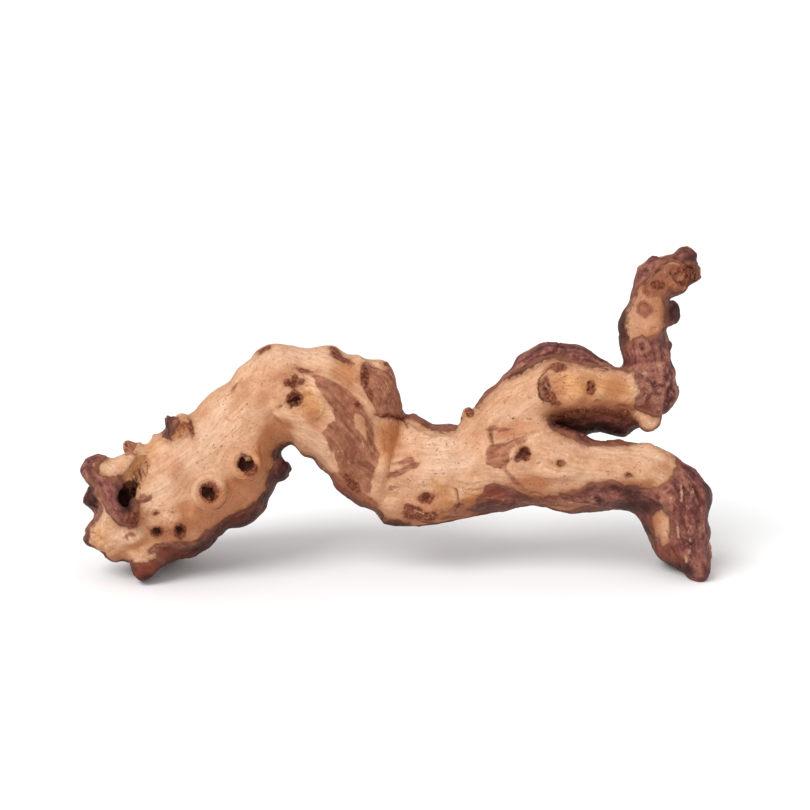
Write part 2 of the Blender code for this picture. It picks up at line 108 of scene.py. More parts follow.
# Low bumps and lips, most of them on the outline: middle, radius, height.
BUMPS = [
    (-97, 141, 4.5, -2.2), (-103, 135.5, 3.5, 0.9), (-110.7, 127, 5, -1.3), (-121, 116, 6.5, 0.4),
    (-131, 109, 4, -1.2), (-143.8, 104.5, 3, -1.3), (-155.5, 91.5, 3.5, 2.6), (-177, 87, 2, 0.8),
    (-182, 78.3, 4.5, -1.2), (-201.4, 75.7, 4.5, -1.4), (-199.5, 59, 2, 1), (-204, 53, 2.4, 1.4),
    (-196, 44.8, 3, -2.8), (-201.4, 28.8, 3, -1.6), (-189.7, 16, 3, -1.4), (-176.9, 11.1, 3.5, -1.8),
    (-162, -3, 8, -2.6), (-149, 6, 5, -1.8), (-139.5, 12, 5, -1.5), (-122, 21, 4, 0.6),
    (-115, 24.5, 5, -2.6), (-108, 31, 4, -1.8), (-96, 42, 3, 0.6), (-82, 52, 5, -2), (-74, 61, 3, 0.4),
    (-69.6, 67.6, 3.2, -2), (-56, 76, 4, -1.9), (-44.6, 65.5, 4, -1.6), (-30, 52.6, 4, -0.8),
    (-13, 39, 6.5, -3.6), (-3, 33, 5, -1.8), (35, 37, 9, -1.3), (62, 41, 7, -0.9), (84, 44, 6, 0.5),
    (118, 43.5, 6, -1.6), (161, 24.5, 6, -2.3), (171, 9, 6, -1.6), (180, 1, 4, -1.6), (201, 20, 8, -3.2),
    (201, 38, 4, -1.4), (195.4, 67.2, 6, -1.5), (184.8, 76.8, 6, -1.8), (170, 86, 6, -0.8),
    (152.8, 88.5, 6, -1.5), (127, 93.4, 5.5, -2.4), (151, 94, 3.5, -2.4), (140, 96, 4, 0.8),
    (164.5, 95.5, 3, 1.2), (112, 100.6, 5, 1.2), (179.4, 127, 5, -2.6), (176.2, 142, 5, -1.6),
    (176, 117, 3, 0.8), (173, 159, 3, -1.2), (179.4, 171.7, 3, -0.8), (187, 187.7, 4, -1.3),
    (194.4, 197.3, 4, -2.4), (187, 212, 4, -2.8), (175, 209.6, 3, -0.6), (167.7, 207, 3, -2.2),
    (157, 203.7, 4, -2), (146.4, 179.2, 4, -1.2), (141.6, 163.2, 5, 1.2), (141, 138.7, 3.5, -2.6),
    (129.3, 144, 6, -1.4), (108, 149, 7, -0.9), (82.4, 149.3, 7, -2.4), (72, 137, 6, -1.3),
    (61, 127, 6, -1.2), (39.7, 104.5, 3, -1.6), (24, 99.6, 6, -1), (5.6, 108, 3, -1.4), (-4, 124, 5, -0.7),
    (-25.4, 143.6, 3.5, 1.8), (-33.9, 146, 4, -2.2), (-40.3, 151, 3, 0.3), (-62, 126, 3, 0.8),
    (-151, 50, 4, 0.8), (-160, 37, 3.6, 0.9), (-146, 26, 3, 0.6), (-3, 82, 7, 3.6), (-4, 71, 7.5, 4.2),
    (-5, 60, 7, 3.6), (-5, 50, 6, 1.8), (-15, 76, 4, -1.2), (-18, 64, 4, -1.4), (32, 70, 6, 0.5),
    (46, 62, 5, 0.5), (62, 104, 8, 0.6), (128, 120, 4, 0.9), (-162.5, 70, 6, 3.2),
]
# The lower outline in the front view at the root's foot and the waist; what hangs below it is lifted to it.
LOWEST = [
    [
        (-172, 11), (-169.4, 3.2), (-166, 0), (-162, 0), (-157.7, 2.1), (-152.3, 7.5), (-144, 12),
        (-137.4, 13.9),
    ],
    [(-24, 47.5), (-15, 44), (-9, 36), (-2, 34.5), (14, 34.5)],
]
# Outlines in the front view. Bark is the smooth purple-brown layer left on the wood.
BARK = {
    "root_underside": [
        (-171, 12), (-170, 13.5), (-164.5, 13.5), (-160.5, 16), (-160, 19.2), (-155.5, 23), (-149, 24.8),
        (-140, 25.6), (-131.2, 23.9), (-127.3, 26.4), (-124.8, 30.7), (-117, 35.2), (-109.4, 41),
        (-103, 44.8), (-96.6, 47.4), (-88.9, 51.2), (-84, 58.5), (-85, 64), (-83.2, 70.4), (-78.7, 74.9),
        (-75, 79), (-60, 82), (-60, 55), (-90, 20), (-150, -14), (-178, -14),
    ],
    "hook": [
        (-192.6, 68.5), (-187.5, 67), (-184, 65.6), (-181, 68.4), (-178, 67), (-175.3, 62), (-169.6, 54),
        (-166.4, 47.4), (-165.2, 42), (-167, 34), (-172.1, 33.5), (-177.3, 35.8), (-184.9, 42.5),
        (-188.8, 50.5), (-192.6, 57.6), (-194, 62), (-199, 63.4), (-206, 66), (-206, 84), (-186, 84),
        (-185.6, 77), (-190.7, 74),
    ],
    "sliver": [
        (-208, 66), (-199, 65), (-194, 63.4), (-191, 59), (-190.6, 53.8), (-188.4, 45), (-193.4, 36.6),
        (-197, 33), (-198, 22), (-208, 18), (-210, 40),
    ],
    "tube_stub": [
        (-152, 104), (-149, 107), (-142.7, 107), (-140, 102.4), (-142.7, 96), (-144.6, 88.3), (-150.4, 92),
        (-153, 97),
    ],
    "arch_underside": [
        (-78, 87.5), (-72.9, 87.2), (-67.8, 87.2), (-62.7, 82.6), (-57.6, 79), (-51.2, 75), (-43.5, 67),
        (-35.8, 60), (-26.9, 51.8), (-17.9, 48), (-12.8, 44.2), (-9.6, 39.9), (-2.5, 38.2), (7.7, 36.8),
        (12, 30), (-30, 28), (-70, 64), (-82, 80),
    ],
    "waist_ridge": [
        (0, 105), (3, 102.4), (9, 102.6), (15.4, 98.6), (24.3, 95.6), (31, 94.8), (37, 95.2), (40, 104),
        (20, 110), (4, 112),
    ],
    "hump": [
        (46, 109), (51.8, 112), (57, 117), (61.7, 122.3), (68, 127), (74.5, 130.4), (84.5, 134.6),
        (93, 140.6), (100, 142.3), (104.4, 141.2), (111.5, 138.6), (121.4, 135.8), (134.2, 134.3),
        (145.6, 132.4), (151, 133), (152, 142), (120, 160), (80, 158), (44, 118),
    ],
    "branch_underside": [
        (93, 104), (96, 104.6), (100.1, 103.6), (107.2, 105.6), (114.3, 108.4), (120, 109.2), (125.7, 109.8),
        (134.2, 109), (141, 109.2), (146, 108), (150, 105), (153.5, 101), (154.2, 96), (148, 86), (118, 86),
        (98, 96),
    ],
    "tip_left": [
        (138, 140), (145, 141), (147.6, 146), (147.8, 154), (145.6, 162), (146.8, 168), (149.6, 174.5),
        (152.4, 182.4), (156.5, 189.5), (164.1, 197), (172, 202.6), (176, 203.6), (182, 201.5), (187, 198),
        (196, 204), (190, 222), (150, 222), (134, 170),
    ],
    "tip_right": [
        (168.6, 182.5), (170.4, 177), (170.8, 172), (169.8, 166), (172, 161), (174, 152), (182, 150),
        (192, 170), (186, 184), (174, 186),
    ],
    "branch_end": [
        (150.5, 134), (152.6, 127), (154.8, 121), (152, 116), (150.6, 111), (155, 108.5), (160, 106.5),
        (165.6, 104.6), (170, 104.6), (186, 106), (190, 128), (184, 152), (166, 158), (146, 152), (145, 144),
        (148, 138),
    ],
    "tip_end": [(186, 191), (190, 186), (200, 184), (206, 204), (190, 214), (184, 205), (188, 198)],
    "tip_low": [
        (146, 147), (150, 154), (156, 157), (162, 154.6), (167, 157.6), (171, 162), (176, 150), (172, 140),
        (150, 138),
    ],
    "band": [
        (53.5, 55.5), (55.5, 60), (61.7, 62.9), (66, 62), (70.3, 60.1), (78.8, 55.8), (88.7, 53.2),
        (100, 54.4), (111.5, 57.2), (122.9, 62.6), (134.3, 64.2), (145.6, 61.4), (158.4, 59), (165, 59.6),
        (170.5, 62), (175.5, 67), (178.3, 72.5), (177.6, 78), (173.5, 83.5), (172, 90), (190, 90), (215, 50),
        (212, -14), (156, -14), (146, 34), (138, 43), (128, 45.5), (119, 47.5), (108, 47.4), (96, 48.2),
        (86, 49.4), (78, 47), (70, 43.6), (60, 42), (50, 42.4), (44, 45), (50, 50),
    ],
    "band_edge": [
        (118, 46), (112, 44.5), (100, 44.2), (88, 46.8), (76, 45.6), (66, 44.4), (56, 44.4), (52, 40),
        (90, 36), (140, 36), (140, 46),
    ],
}
# Medium brown, smooth stains in the wood, which follow the grain.
STAIN = {
    "arch_band": [
        (-56.3, 131.8), (-50, 130.2), (-44.8, 128), (-39.7, 126.7), (-32, 122.2), (-25.6, 114.6),
        (-20.5, 105.6), (-15.4, 96.6), (-14.1, 85.1), (-12.1, 77.4), (-15, 69.8), (-17.2, 62.1), (-17.6, 54),
        (-24.3, 55), (-30, 61), (-35.6, 66.5), (-38.8, 74.9), (-43.5, 85.1), (-48.6, 94.1), (-44.8, 99.2),
        (-39.7, 101.8), (-42.2, 109.4), (-47.4, 117.1), (-52.5, 124.8),
    ],
    "arch_right": [
        (-23.7, 137.6), (-17.9, 137.6), (-12.8, 135.7), (-6.4, 135.4), (4, 138), (6, 124.8), (6, 114.6),
        (3.2, 106.9), (0, 104.5), (-5.1, 105.8), (-10.2, 104.5), (-14.1, 106.4), (-16, 112), (-20.5, 119.7),
        (-22.4, 124.8), (-23, 131.2),
    ],
    "second_layer": [
        (-43.2, 67.8), (-38, 69.5), (-33.3, 68.5), (-30.7, 63.4), (-24.3, 57), (-16.6, 51.8), (-12.1, 47.6),
        (-16, 46), (-27, 51), (-36, 59.5),
    ],
    "branch_patch": [
        (56.7, 75), (56.5, 82), (58.6, 86.4), (64, 86.6), (70, 88.6), (76, 90.6), (83, 90.4), (82, 88),
        (75.4, 86.6), (71.4, 82), (70.2, 76), (69.6, 71), (73, 66.5), (78, 62), (84, 58), (92, 55),
        (84, 56.4), (77, 59), (71.6, 64), (67.5, 69.8), (62, 71.4),
    ],
    "waist_streak": [
        (-9.5, 67.5), (-6, 70), (-1, 70.5), (4, 72.5), (9, 75.5), (13.5, 75), (12.5, 71.5), (7, 69.5),
        (0, 67), (-6, 66.3),
    ],
    "waist_streak_high": [(-4, 73.4), (2, 76.4), (9, 79.4), (10, 77), (3, 74)],
    "waist_smudge": [(-8.5, 59.5), (-5, 61.5), (0, 61.3), (1, 59.5), (-3, 58.3)],
    "low_edge": [
        (26, 40), (33, 41.6), (40, 45), (48, 47.4), (55, 50), (57, 55), (60, 50), (66, 46), (60, 38),
        (30, 34),
    ],
    "crease_foot": [(33, 45), (38, 49), (41.5, 50), (42, 45), (38, 42), (33, 41.5)],
    "lobe_chip": [(-167.4, 49), (-165, 54.4), (-159.6, 54.6), (-157.4, 55.6), (-158.8, 50.6), (-162.6, 49.6)],
    "low_chip": [(-176.5, 27), (-172.5, 31), (-166.5, 29.6), (-168, 27.6), (-171.6, 28), (-173, 25.4)],
    "small_stub": [
        (-178, 90), (-172, 89.6), (-167, 87), (-165.6, 83), (-169.6, 80), (-174.4, 81), (-178, 84),
    ],
    "arch_notch": [(-106.5, 121), (-104, 125.4), (-101.4, 125.8), (-103.6, 121.8)],
    "tip_eye": [(153, 171), (153.6, 176.6), (157.6, 178.8), (161.6, 176.6), (162.6, 172), (158.4, 168)],
    "tip_top": [
        (156, 188), (160, 193), (166, 198), (174, 202), (184, 200), (188, 192), (182, 184), (174, 183.6),
        (170, 180), (166, 181), (161, 180.4), (157, 183),
    ],
    "branch_low": [
        (96, 105.4), (101, 107.6), (108, 108), (116, 111), (126, 112), (136, 111.4), (146, 112.6),
        (152, 109), (146, 105), (110, 103),
    ],
    "crotch_streak": [(56, 96.6), (60, 99.2), (67, 98), (74, 96.8), (68, 95.4), (60, 95.6)],
}
# Warm, yellow-orange wood; on the lobe's right side, which turns from the light, it is painted shade.
OCHRE = {
    "mouth": [
        (-178.4, 64), (-176.4, 69), (-173, 75), (-168.4, 83), (-156, 89), (-146, 90), (-153, 83), (-158, 76),
        (-161, 68), (-165.6, 60), (-169, 54), (-173, 58),
    ],
    "mound": [(-64, 127), (-55, 124), (-47, 116), (-42, 106), (-50, 102), (-60, 104), (-70, 108), (-70, 114)],
    "lobe_right": [
        (-132, 40), (-112, 50), (-98, 60), (-86, 70), (-80, 84), (-74, 92), (-82, 100), (-92, 88),
        (-106, 66), (-134, 46), (-150, 28),
    ],
    "lobe_foot": [(-176, 14), (-160, 20), (-148, 28), (-162, 30), (-178, 20)],
    "flange": [(-198, 23), (-194, 33), (-188, 34), (-184, 28), (-190, 19)],
    "tube_end": [
        (-143.6, 97), (-142, 101), (-138, 102.6), (-134, 100), (-133, 95), (-136, 91), (-140.6, 90.6),
        (-143, 93),
    ],
    "burl_patch": [(-164.6, 46), (-163.4, 40), (-160, 36.4), (-157.4, 39), (-159, 45)],
    "branch_face": [
        (98, 132), (110, 135), (130, 133), (149, 130), (150, 116), (136, 113), (118, 113), (103, 112),
    ],
    "crotch_fan": [(40, 46), (42, 58), (54, 60), (58, 52), (56, 46)],
    "neck_fan": [(-14, 102), (2, 100), (6, 88), (-2, 74), (-14, 76), (-14, 88)],
    "swirl": [(19, 58), (25, 64), (34, 64), (38, 58), (36, 50), (30, 46), (23, 49)],
    "arch_shoulder": [(-40, 142), (-28, 140), (-24, 130), (-30, 124), (-42, 130)],
}
# Pinkish, paler wood, where the sand took most off, and painted highlight on tops that face the light, such
# as the lobe's, the arch's and the lower branch's, and on one small bump.
PALE_AND_HIGHLIGHT = {
    "hook_arm": [
        (-190.7, 70), (-190.5, 74), (-185.6, 77.4), (-178, 79), (-173, 79.6), (-176.4, 72), (-180.4, 66.4),
        (-185, 67),
    ],
    "burl": [(-166, 46), (-162, 58), (-150, 70), (-140, 64), (-146, 52), (-156, 42)],
    "lobe_low": [(-188, 30), (-176, 36), (-160, 30), (-166, 22), (-182, 22)],
    "lobe_top": [(-150, 84), (-126, 104), (-112, 118), (-104, 116), (-116, 92), (-138, 74)],
    "arch_top": [(-104, 134), (-92, 146), (-64, 149), (-44, 147), (-58, 138), (-80, 136)],
    "arch_strip": [(-66, 94), (-58, 100), (-50, 92), (-42, 76), (-44, 70), (-56, 80)],
    "neck": [(2, 92), (8, 97), (10, 88), (5, 84)],
    "waist": [(10, 58), (16, 92), (40, 92), (54, 74), (40, 66), (26, 68)],
    "fork": [(58, 106), (66, 112), (78, 116), (84, 112), (80, 104), (70, 101), (60, 101)],
    "branch_upper": [(86, 92), (110, 90), (140, 86), (166, 84), (176, 76), (158, 74), (128, 78), (96, 84)],
    "branch_lower": [(88, 58), (100, 66), (122, 70), (150, 66), (164, 62), (134, 66), (112, 60)],
    "lobe_side": [(-150, 62), (-136, 84), (-120, 96), (-112, 90), (-124, 74), (-140, 56)],
    "highlight": [(124.6, 119.6), (127, 122.4), (131, 121), (130.6, 117.4), (127, 117)],
    "stub": [(156.6, 106), (160.6, 106.6), (166, 104.4), (171, 100), (166, 92), (158, 92), (153.6, 99)],
    "tip_face": [(148, 164), (150, 174), (158, 186), (166, 184), (168, 174), (165, 162), (156, 158)],
    "band_low": [(84, 51), (95, 49.8), (108, 48.9), (120, 49.2), (120, 46.4), (108, 45), (92, 46.4)],
}
# Where the wood shows inside bark or stain.
BARE = {
    "root_tongue": [(-169, 14.8), (-160, 16.2), (-155, 17), (-155.4, 14), (-161, 12), (-169, 11.4)],
    "foot_inner": [
        (162.7, 41.6), (168.4, 44.5), (173.6, 41.6), (174.4, 30.2), (173.8, 23.6), (169.8, 21.7),
        (167, 28.8), (162.4, 26), (163.6, 33),
    ],
    "wedge": [(-27.4, 107), (-21.7, 104), (-19.6, 96), (-20.5, 88), (-23.7, 93), (-27.5, 100.5)],
    "hook_arm": PALE_AND_HIGHLIGHT["hook_arm"],
    "stub": PALE_AND_HIGHLIGHT["stub"],
}
# The ovals below have their middle, half sizes and turn in degrees.
# Where the wood turns a deeper orange-brown, softly: partly painted shade on sides that turn from the light,
# partly weathered wood.
SHADE_AND_WEATHERING = [
    (-106, 54, 32, 12, 32), (-79, 90, 11, 16, -25), (-83, 70, 7, 14, 15), (-136, 36, 16, 5, 12),
    (-5, 89, 9, 15, 0), (76, 99, 20, 4, 6), (124, 112.5, 28, 4, 0), (84, 62, 13, 7, 0), (48, 47, 16, 6, 12),
    (160, 167, 11, 26, 0), (-34, 131, 13, 9, -30), (-33, 118, 9, 13, 30), (-73, 130, 10, 6, 0),
    (-138, 46, 8, 6, 20), (-86, 116, 8, 6, 30), (-140, 68, 8, 12, 0), (-54, 104, 7, 12, 20),
    (-22, 102, 5, 8, 0), (148, 60, 26, 4, 0), (172, 73, 5, 7, 0), (70, 94, 20, 6, 0), (-138, 97, 8, 9, 0),
    (162, 186, 9, 7, 30), (22, 46, 16, 7, 0), (140, 124, 10, 9, 0), (100, 88, 18, 3, 10),
    (102, 121, 7, 8, 0), (-150, 32, 10, 5, 0), (164, 36, 6, 10, 0),
]
# Burnt, near-black places and deep shade.
BLACK = [
    (-175.4, 52, 5.8, 11.8, 28), (-161, 1, 10, 3.4, 0), (146, 156, 2.6, 9, 0), (128, 98, 28, 4.8, 0),
    (104, 102, 12, 4, 16), (152, 48, 22, 5, -8), (188, 84, 4, 3, 0), (-72, 69, 6, 8, 0),
    (144, 164, 3.5, 22, -8), (-94, 42, 16, 3, 26), (-126, 22, 11, 3, 10), (-26, 47, 26, 3.5, -30),
    (0, 36, 12, 2.6, 0), (-197, 52, 5.5, 10, 0), (-199, 26, 2.6, 8, -12), (-146.5, 97, 4, 8, 0),
    (142.5, 152, 3, 14, 0), (159, 30, 3.5, 12, 10), (180, 6, 14, 5, 0), (199, 52, 4, 24, 6),
    (173, 72, 2, 6, 0), (-169.4, 6, 2.2, 9, 6), (186, 199, 6, 5, 40), (82, 133.4, 13, 1.6, 22),
    (94, 139.6, 5, 2, 30), (178, 171, 5, 6, 0), (-118, 27, 14, 3.2, 28), (-100, 37, 13, 3.2, 32),
    (-84, 52, 4, 8, -20), (187, 206, 7, 4, 20),
]
# The hollow side of the hook, where its walls face away, and the depth that it lies before.
HOOK_HOLLOW = (-174, 54, 10, 15, 28)
HOOK_DEPTH = -8
# Bark rubbed through to a paler layer in spots.
RUBBED = [
    (164, 121, 15, 14, 0), (110, 50, 32, 5, 0), (185.5, 54, 3.2, 13, 0), (186.5, 26, 2.6, 12, 0),
    (180.5, 57, 2.4, 8, 0), (172, 50, 6, 9, 0), (-182, 40, 4, 2, -40), (-150, 21, 10, 3, 10),
    (78, 136, 8, 2.5, 32), (120, 141, 10, 2, -18), (156, 150, 6, 6, 0), (168, 140, 4, 10, 0),
    (160, 196, 5, 6, 0), (178, 78, 4, 6, 0), (194, 34, 2, 6, 0), (-196, 74, 5, 3, 0),
    (-118, 36, 10, 1.6, 34), (148, 176, 2, 8, -20), (62, 52, 8, 5, 0), (92, 51.5, 26, 4, 4),
    (158, 132, 9, 8, 0), (166, 124, 12, 14, 0), (158, 128, 12, 12, 0), (176, 197, 8, 7, 20),
]
# Reddish places in the bark.
REDDISH = [
    (-144, 17.5, 15, 6.5, 8), (-160, 7, 9, 8, 0), (-111, 38, 14, 3.5, 30), (-168.9, 40.3, 4.5, 6, 0),
    (-36, 57, 12, 3.5, -40), (130, 106, 22, 4, 0), (172, 14, 14, 9, -30), (163, 38, 5, 10, 0),
    (160, 112, 6, 4, 0), (92, 54, 26, 4, 0), (180, 78, 6, 8, -30), (62, 54, 11, 8, 0), (128, 106, 26, 3, 0),
    (-161, 4, 12, 14, 0), (-161, 7, 9, 9, 0), (-104, 41, 24, 4.5, 30),
]
# Crumbly red-brown crusts.
CRUST = [
    (-70.6, 126, 2.6, 2.2, 20), (-66.4, 128.6, 2.4, 2.4, 0), (-62.6, 126.6, 2.6, 1.8, 10),
    (-67.4, 123.6, 2.8, 2.4, 0), (-65.9, 115.8, 5.4, 5, 0), (17.9, 52.5, 4.8, 3.2, 10),
    (10, 42.6, 7, 4.2, 0), (20, 40.6, 6, 3.2, 0), (7, 46, 3.6, 2.4, 0), (80.4, 80.8, 4.2, 4.6, 30),
    (77, 77.4, 2.2, 1.8, 30), (104, 105.4, 4.5, 1.5, 8), (117, 108.4, 5.5, 1.4, 6), (131, 108.8, 5, 1.3, 0),
    (143.6, 107.4, 4, 1.5, -8), (102.4, 136.6, 5.6, 2.8, 0), (95, 123, 2.4, 6.6, 0),
    (98.4, 117.4, 2.6, 3.2, -14), (101.4, 113.4, 2.4, 1.4, 0), (-85.8, 147.8, 4.4, 2.1, 30),
    (-37, 143.6, 8.6, 2.6, -42), (-21.6, 130, 2.6, 8, 0), (-18, 119, 2, 4, 20), (-30, 62, 8, 2.6, -48),
    (103.7, 74.6, 2.8, 1.9, 0), (184, 195, 8, 7, 30), (-121, 56.6, 6, 6.6, 0), (-95, 71.4, 4.6, 4.4, 0),
    (-99, 76, 4.4, 5.4, 0), (-169.4, 39.6, 3.6, 4.6, -20), (46, 107.6, 2.6, 2.6, 0),
    (123.4, 123.6, 3, 3.8, 0), (-3, 104.6, 8, 1.8, -6), (-155.6, 43, 1.9, 0.9, 15),
    (-26, 111.8, 3.2, 1.4, -20), (-154.2, 30.7, 4, 3, 0), (-139.3, 31.6, 4, 4.4, 0),
    (-132.4, 97, 1.3, 4.6, 10), (-137.4, 94.4, 1.6, 1.2, 30), (-168.6, 57.4, 1.7, 2.4, 0),
    (147.8, 67.2, 2.2, 1.5, 0), (-60, 134, 4.5, 1.2, -10), (166, 189, 4, 3, 0), (-5.8, 138.6, 3, 2.4, 0),
]
# Torn wood and rough wood.
TORN = [(-199, 50, 9, 15, 0), (-196, 24, 8, 10, 0), (-140, 97, 9, 9, 0), (186, 196, 9, 10, 30)]
ROUGH = [
    (-189, 24, 13, 12, 0), (-153, 41, 9, 6, 0), (184, 195, 9, 10, 30), (-56, 113, 10, 11, 0),
    (-168, 73, 10, 15, -35), (14, 42, 13, 7, 0), (98, 124, 9, 15, 0), (-161, 10, 10, 9, 0),
    (164, 118, 14, 16, 0), (188, 40, 12, 40, 4), (80, 80, 8, 8, 0), (-144, 17, 16, 7, 8),
    (128, 101, 30, 8, 0), (170, 77, 7, 6, 0),
]
# Open cracks: line, half width, depth.
CRACKS = [
    ([(-88.4, 146.4), (-85, 148.4), (-81.6, 149.6)], 0.9, 0.9),
    ([(103, 152), (102.3, 147), (98, 145), (94, 143.4), (88.8, 142.6)], 0.75, 1.7),
    ([(59.6, 94.4), (59.3, 90.5), (59.8, 86.6)], 1.2, 2.6),
    ([(-14.1, 105.8), (-10.2, 104.4), (-5.1, 105.1), (0, 103.8), (3.8, 101.4), (6.6, 97)], 0.7, 1.5),
    ([(-168.4, 68.4), (-164.9, 58.4)], 0.6, 2.4), ([(-165.4, 70), (-163.6, 63)], 0.6, 2.4),
    ([(-162.2, 71.4), (-161.3, 66.6)], 0.6, 2), ([(-170.6, 66.4), (-168, 60.4)], 0.5, 1.6),
    ([(-158.7, 73), (-160.6, 66.6)], 0.5, 1.4), ([(-161.6, 75.4), (-160, 71)], 0.5, 1.6),
    ([(95.6, 135.6), (91.9, 129.8), (91, 122.7), (92.3, 117), (95.1, 114.4), (98.7, 110.6)], 1.2, 2.4),
    ([(146.4, 163.9), (149.8, 173.9), (152.8, 182.2), (157, 189.2), (164.6, 196.8), (174.1, 204)], 0.7, 1),
    ([(37.1, 58), (38.7, 52.5), (39.6, 47.6), (37, 43.5)], 0.9, 1.6),
    ([(176.4, 206.6), (182, 203.4), (187.4, 199.6)], 0.7, 1.5),
    ([(190.4, 59), (193, 48), (191.4, 34), (194, 20)], 1.4, 1.3),
    ([(181.4, 63), (184, 50), (183.4, 38)], 1.1, 0.9), ([(172, 24), (178, 16), (181, 8)], 1.2, 1.1),
    ([(148, 54), (158, 52.6), (167, 47.6), (172, 41)], 2.2, 1.3),
    ([(72, 127.8), (79, 131), (86, 134.4), (93, 139)], 1, 1),
    ([(56, 118), (66, 127), (78, 135), (92, 141)], 0.9, 0.6),
    ([(110, 149), (124, 143.6), (138, 137)], 0.9, 0.6),
    ([(104, 145.6), (116, 142.6), (130, 138.4)], 0.8, 0.6),
    ([(-200, 72), (-194, 70.6), (-188, 66.6)], 0.8, 0.7), ([(-194.4, 64), (-190, 54), (-183, 44)], 0.8, 0.7),
    ([(-131, 24.6), (-118, 31.6), (-104, 40), (-92, 45.6), (-84.6, 54)], 0.9, 0.9),
    ([(-157, 20), (-146, 21), (-134, 19)], 0.7, 0.6), ([(-76.6, 70), (-73, 75.4), (-70, 77)], 1, 1.4),
    ([(174.6, 196.6), (179, 190), (184, 188)], 0.8, 1.2),
    ([(187, 200.4), (190.6, 195.6), (188, 190)], 0.8, 1.2),
    ([(105.8, 93.6), (107, 91.4), (110, 90.8)], 0.6, 0.7), ([(22, 41.6), (26, 44), (30, 43)], 0.7, 0.7),
    ([(-180.2, 60.2), (-176.8, 53.2), (-171.2, 44.2)], 3.4, 2.8),
    ([(-141, 100.4), (-137.6, 99), (-136, 95.8), (-137.6, 92)], 0.6, 0.8),
    ([(-138.4, 102), (-134.6, 99.6), (-133.2, 95.6), (-135, 91.4)], 0.7, 1),
    ([(-141.4, 96.4), (-139.2, 95.6), (-139, 92.6)], 0.5, 0.7),
    ([(-153, 89), (-149, 89.4), (-145.4, 86.6)], 0.6, 0.8), ([(-203, 46), (-198, 50), (-193, 47)], 1.2, 2),
    ([(-204, 56), (-199, 57)], 1, 1.6),
]
# Raised lines: line, half width, height.
RIDGES = [
    (
        [
            (182.6, 68), (186.9, 60.1), (187.6, 50.1), (188.3, 38.8), (186.2, 31.6), (188.3, 24.5),
            (186.2, 16), (185.4, 10),
        ],
        1, 1.1,
    ),
    ([(145, 163.9), (148.4, 174), (151.4, 182.6), (155.6, 190), (163.2, 198)], 0.9, 0.8),
    ([(168, 126), (171.6, 135), (173.4, 145)], 1.7, 1.3), ([(150, 146), (151, 138), (149.6, 132)], 1.2, 0.8),
    ([(-149, 26.4), (-139, 27), (-130, 26), (-121, 33.6), (-108, 42.6), (-94, 49.6)], 1.2, 0.6),
    ([(-176.8, 68.4), (-172.6, 74.6), (-169, 80), (-165.6, 86)], 1.8, 1.8),
    ([(56, 114), (68, 126.6), (84, 138), (100, 146.6), (118, 142), (136, 136)], 1.8, 0.9),
    ([(-192, 56), (-186, 46), (-177, 37)], 1.6, 0.7),
    ([(-60, 121), (-52, 118), (-47, 111), (-50, 104.6), (-58, 103)], 1.4, 1),
    ([(-57, 116), (-52.6, 113), (-53, 108), (-58, 107)], 1, 0.6),
    ([(8, 97), (16, 94), (28, 91.6)], 1.2, 0.6), ([(84, 134), (97, 148), (103, 150)], 2.4, 0.8),
    ([(-143.6, 103.6), (-142.6, 97), (-143.6, 91)], 1.1, 0.9),
    ([(-134.6, 102), (-132.2, 97), (-134, 91.6)], 1, 0.9),
    ([(62, 52), (70, 56), (80, 53), (92, 50.4)], 1.4, 0.6),
]
# Thin brown lines drawn by the grain: line, half width.
BROWN_LINES = [
    ([(6.4, 100), (12.8, 95.6), (20, 92.6), (28.2, 91.6)], 0.7), ([(99, 125), (104, 129), (109, 131)], 0.5),
    ([(100, 123), (107, 125), (112, 125)], 0.5), ([(100, 121), (106, 119.4), (111, 116)], 0.5),
    ([(101, 128), (104, 133), (106, 136)], 0.4), ([(99.6, 118), (103, 114)], 0.4),
    ([(-111, 117), (-104, 121)], 0.5), ([(41, 51), (48, 49.6), (56, 51)], 0.9),
    ([(42, 55.6), (50, 54.2), (56, 55)], 0.9), ([(40.6, 59.4), (48, 58), (54, 59)], 0.8),
    ([(38, 63), (46, 61.6), (53, 63)], 0.7), ([(28, 42.6), (40, 46), (50, 47.4)], 1.1),
    ([(-11, 98), (-8.4, 88), (-11, 79)], 0.4), ([(-6.4, 100), (-4, 91), (-6, 82)], 0.35),
    ([(-2, 99), (0.6, 91), (-1, 85)], 0.35), ([(2, 97), (4.6, 91)], 0.3),
    ([(74, 58), (70, 64), (68.6, 70)], 0.5), ([(-152, 37), (-149, 39), (-148, 42)], 0.4),
    ([(-150, 35.4), (-146.6, 37.6), (-145.4, 41)], 0.4), ([(-146.4, 35), (-143.6, 38)], 0.35),
    ([(-151, 44.4), (-147, 45), (-143.6, 43.4)], 0.4), ([(-154, 47.6), (-149, 48.4)], 0.35),
    ([(-153, 40), (-151.4, 43)], 0.3), ([(-147.6, 47), (-144, 46.4)], 0.3),
    ([(-158, 47.6), (-156.6, 50.6)], 0.3), ([(88, 66), (92, 64), (97, 66)], 0.4),
    ([(106, 93.4), (108, 91), (112, 90.6)], 0.6), ([(128, 86), (140, 82), (150, 84)], 0.35),
    ([(-104, 122), (-99, 128)], 0.5), ([(150, 118), (144, 112)], 0.5), ([(160, 190), (168, 184)], 0.6),
    ([(-58, 133), (-51, 134)], 0.5), ([(44, 104.6), (46.6, 108.6)], 0.5), ([(46, 103.6), (49, 107)], 0.4),
    ([(176, 60), (170, 61)], 0.4), ([(-197, 31), (-188, 26)], 0.5), ([(-191, 30), (-184, 20)], 0.5),
    ([(-100, 104), (-88, 98), (-80, 98)], 0.5), ([(-106, 84), (-100, 86), (-92, 84.6)], 0.4),
]
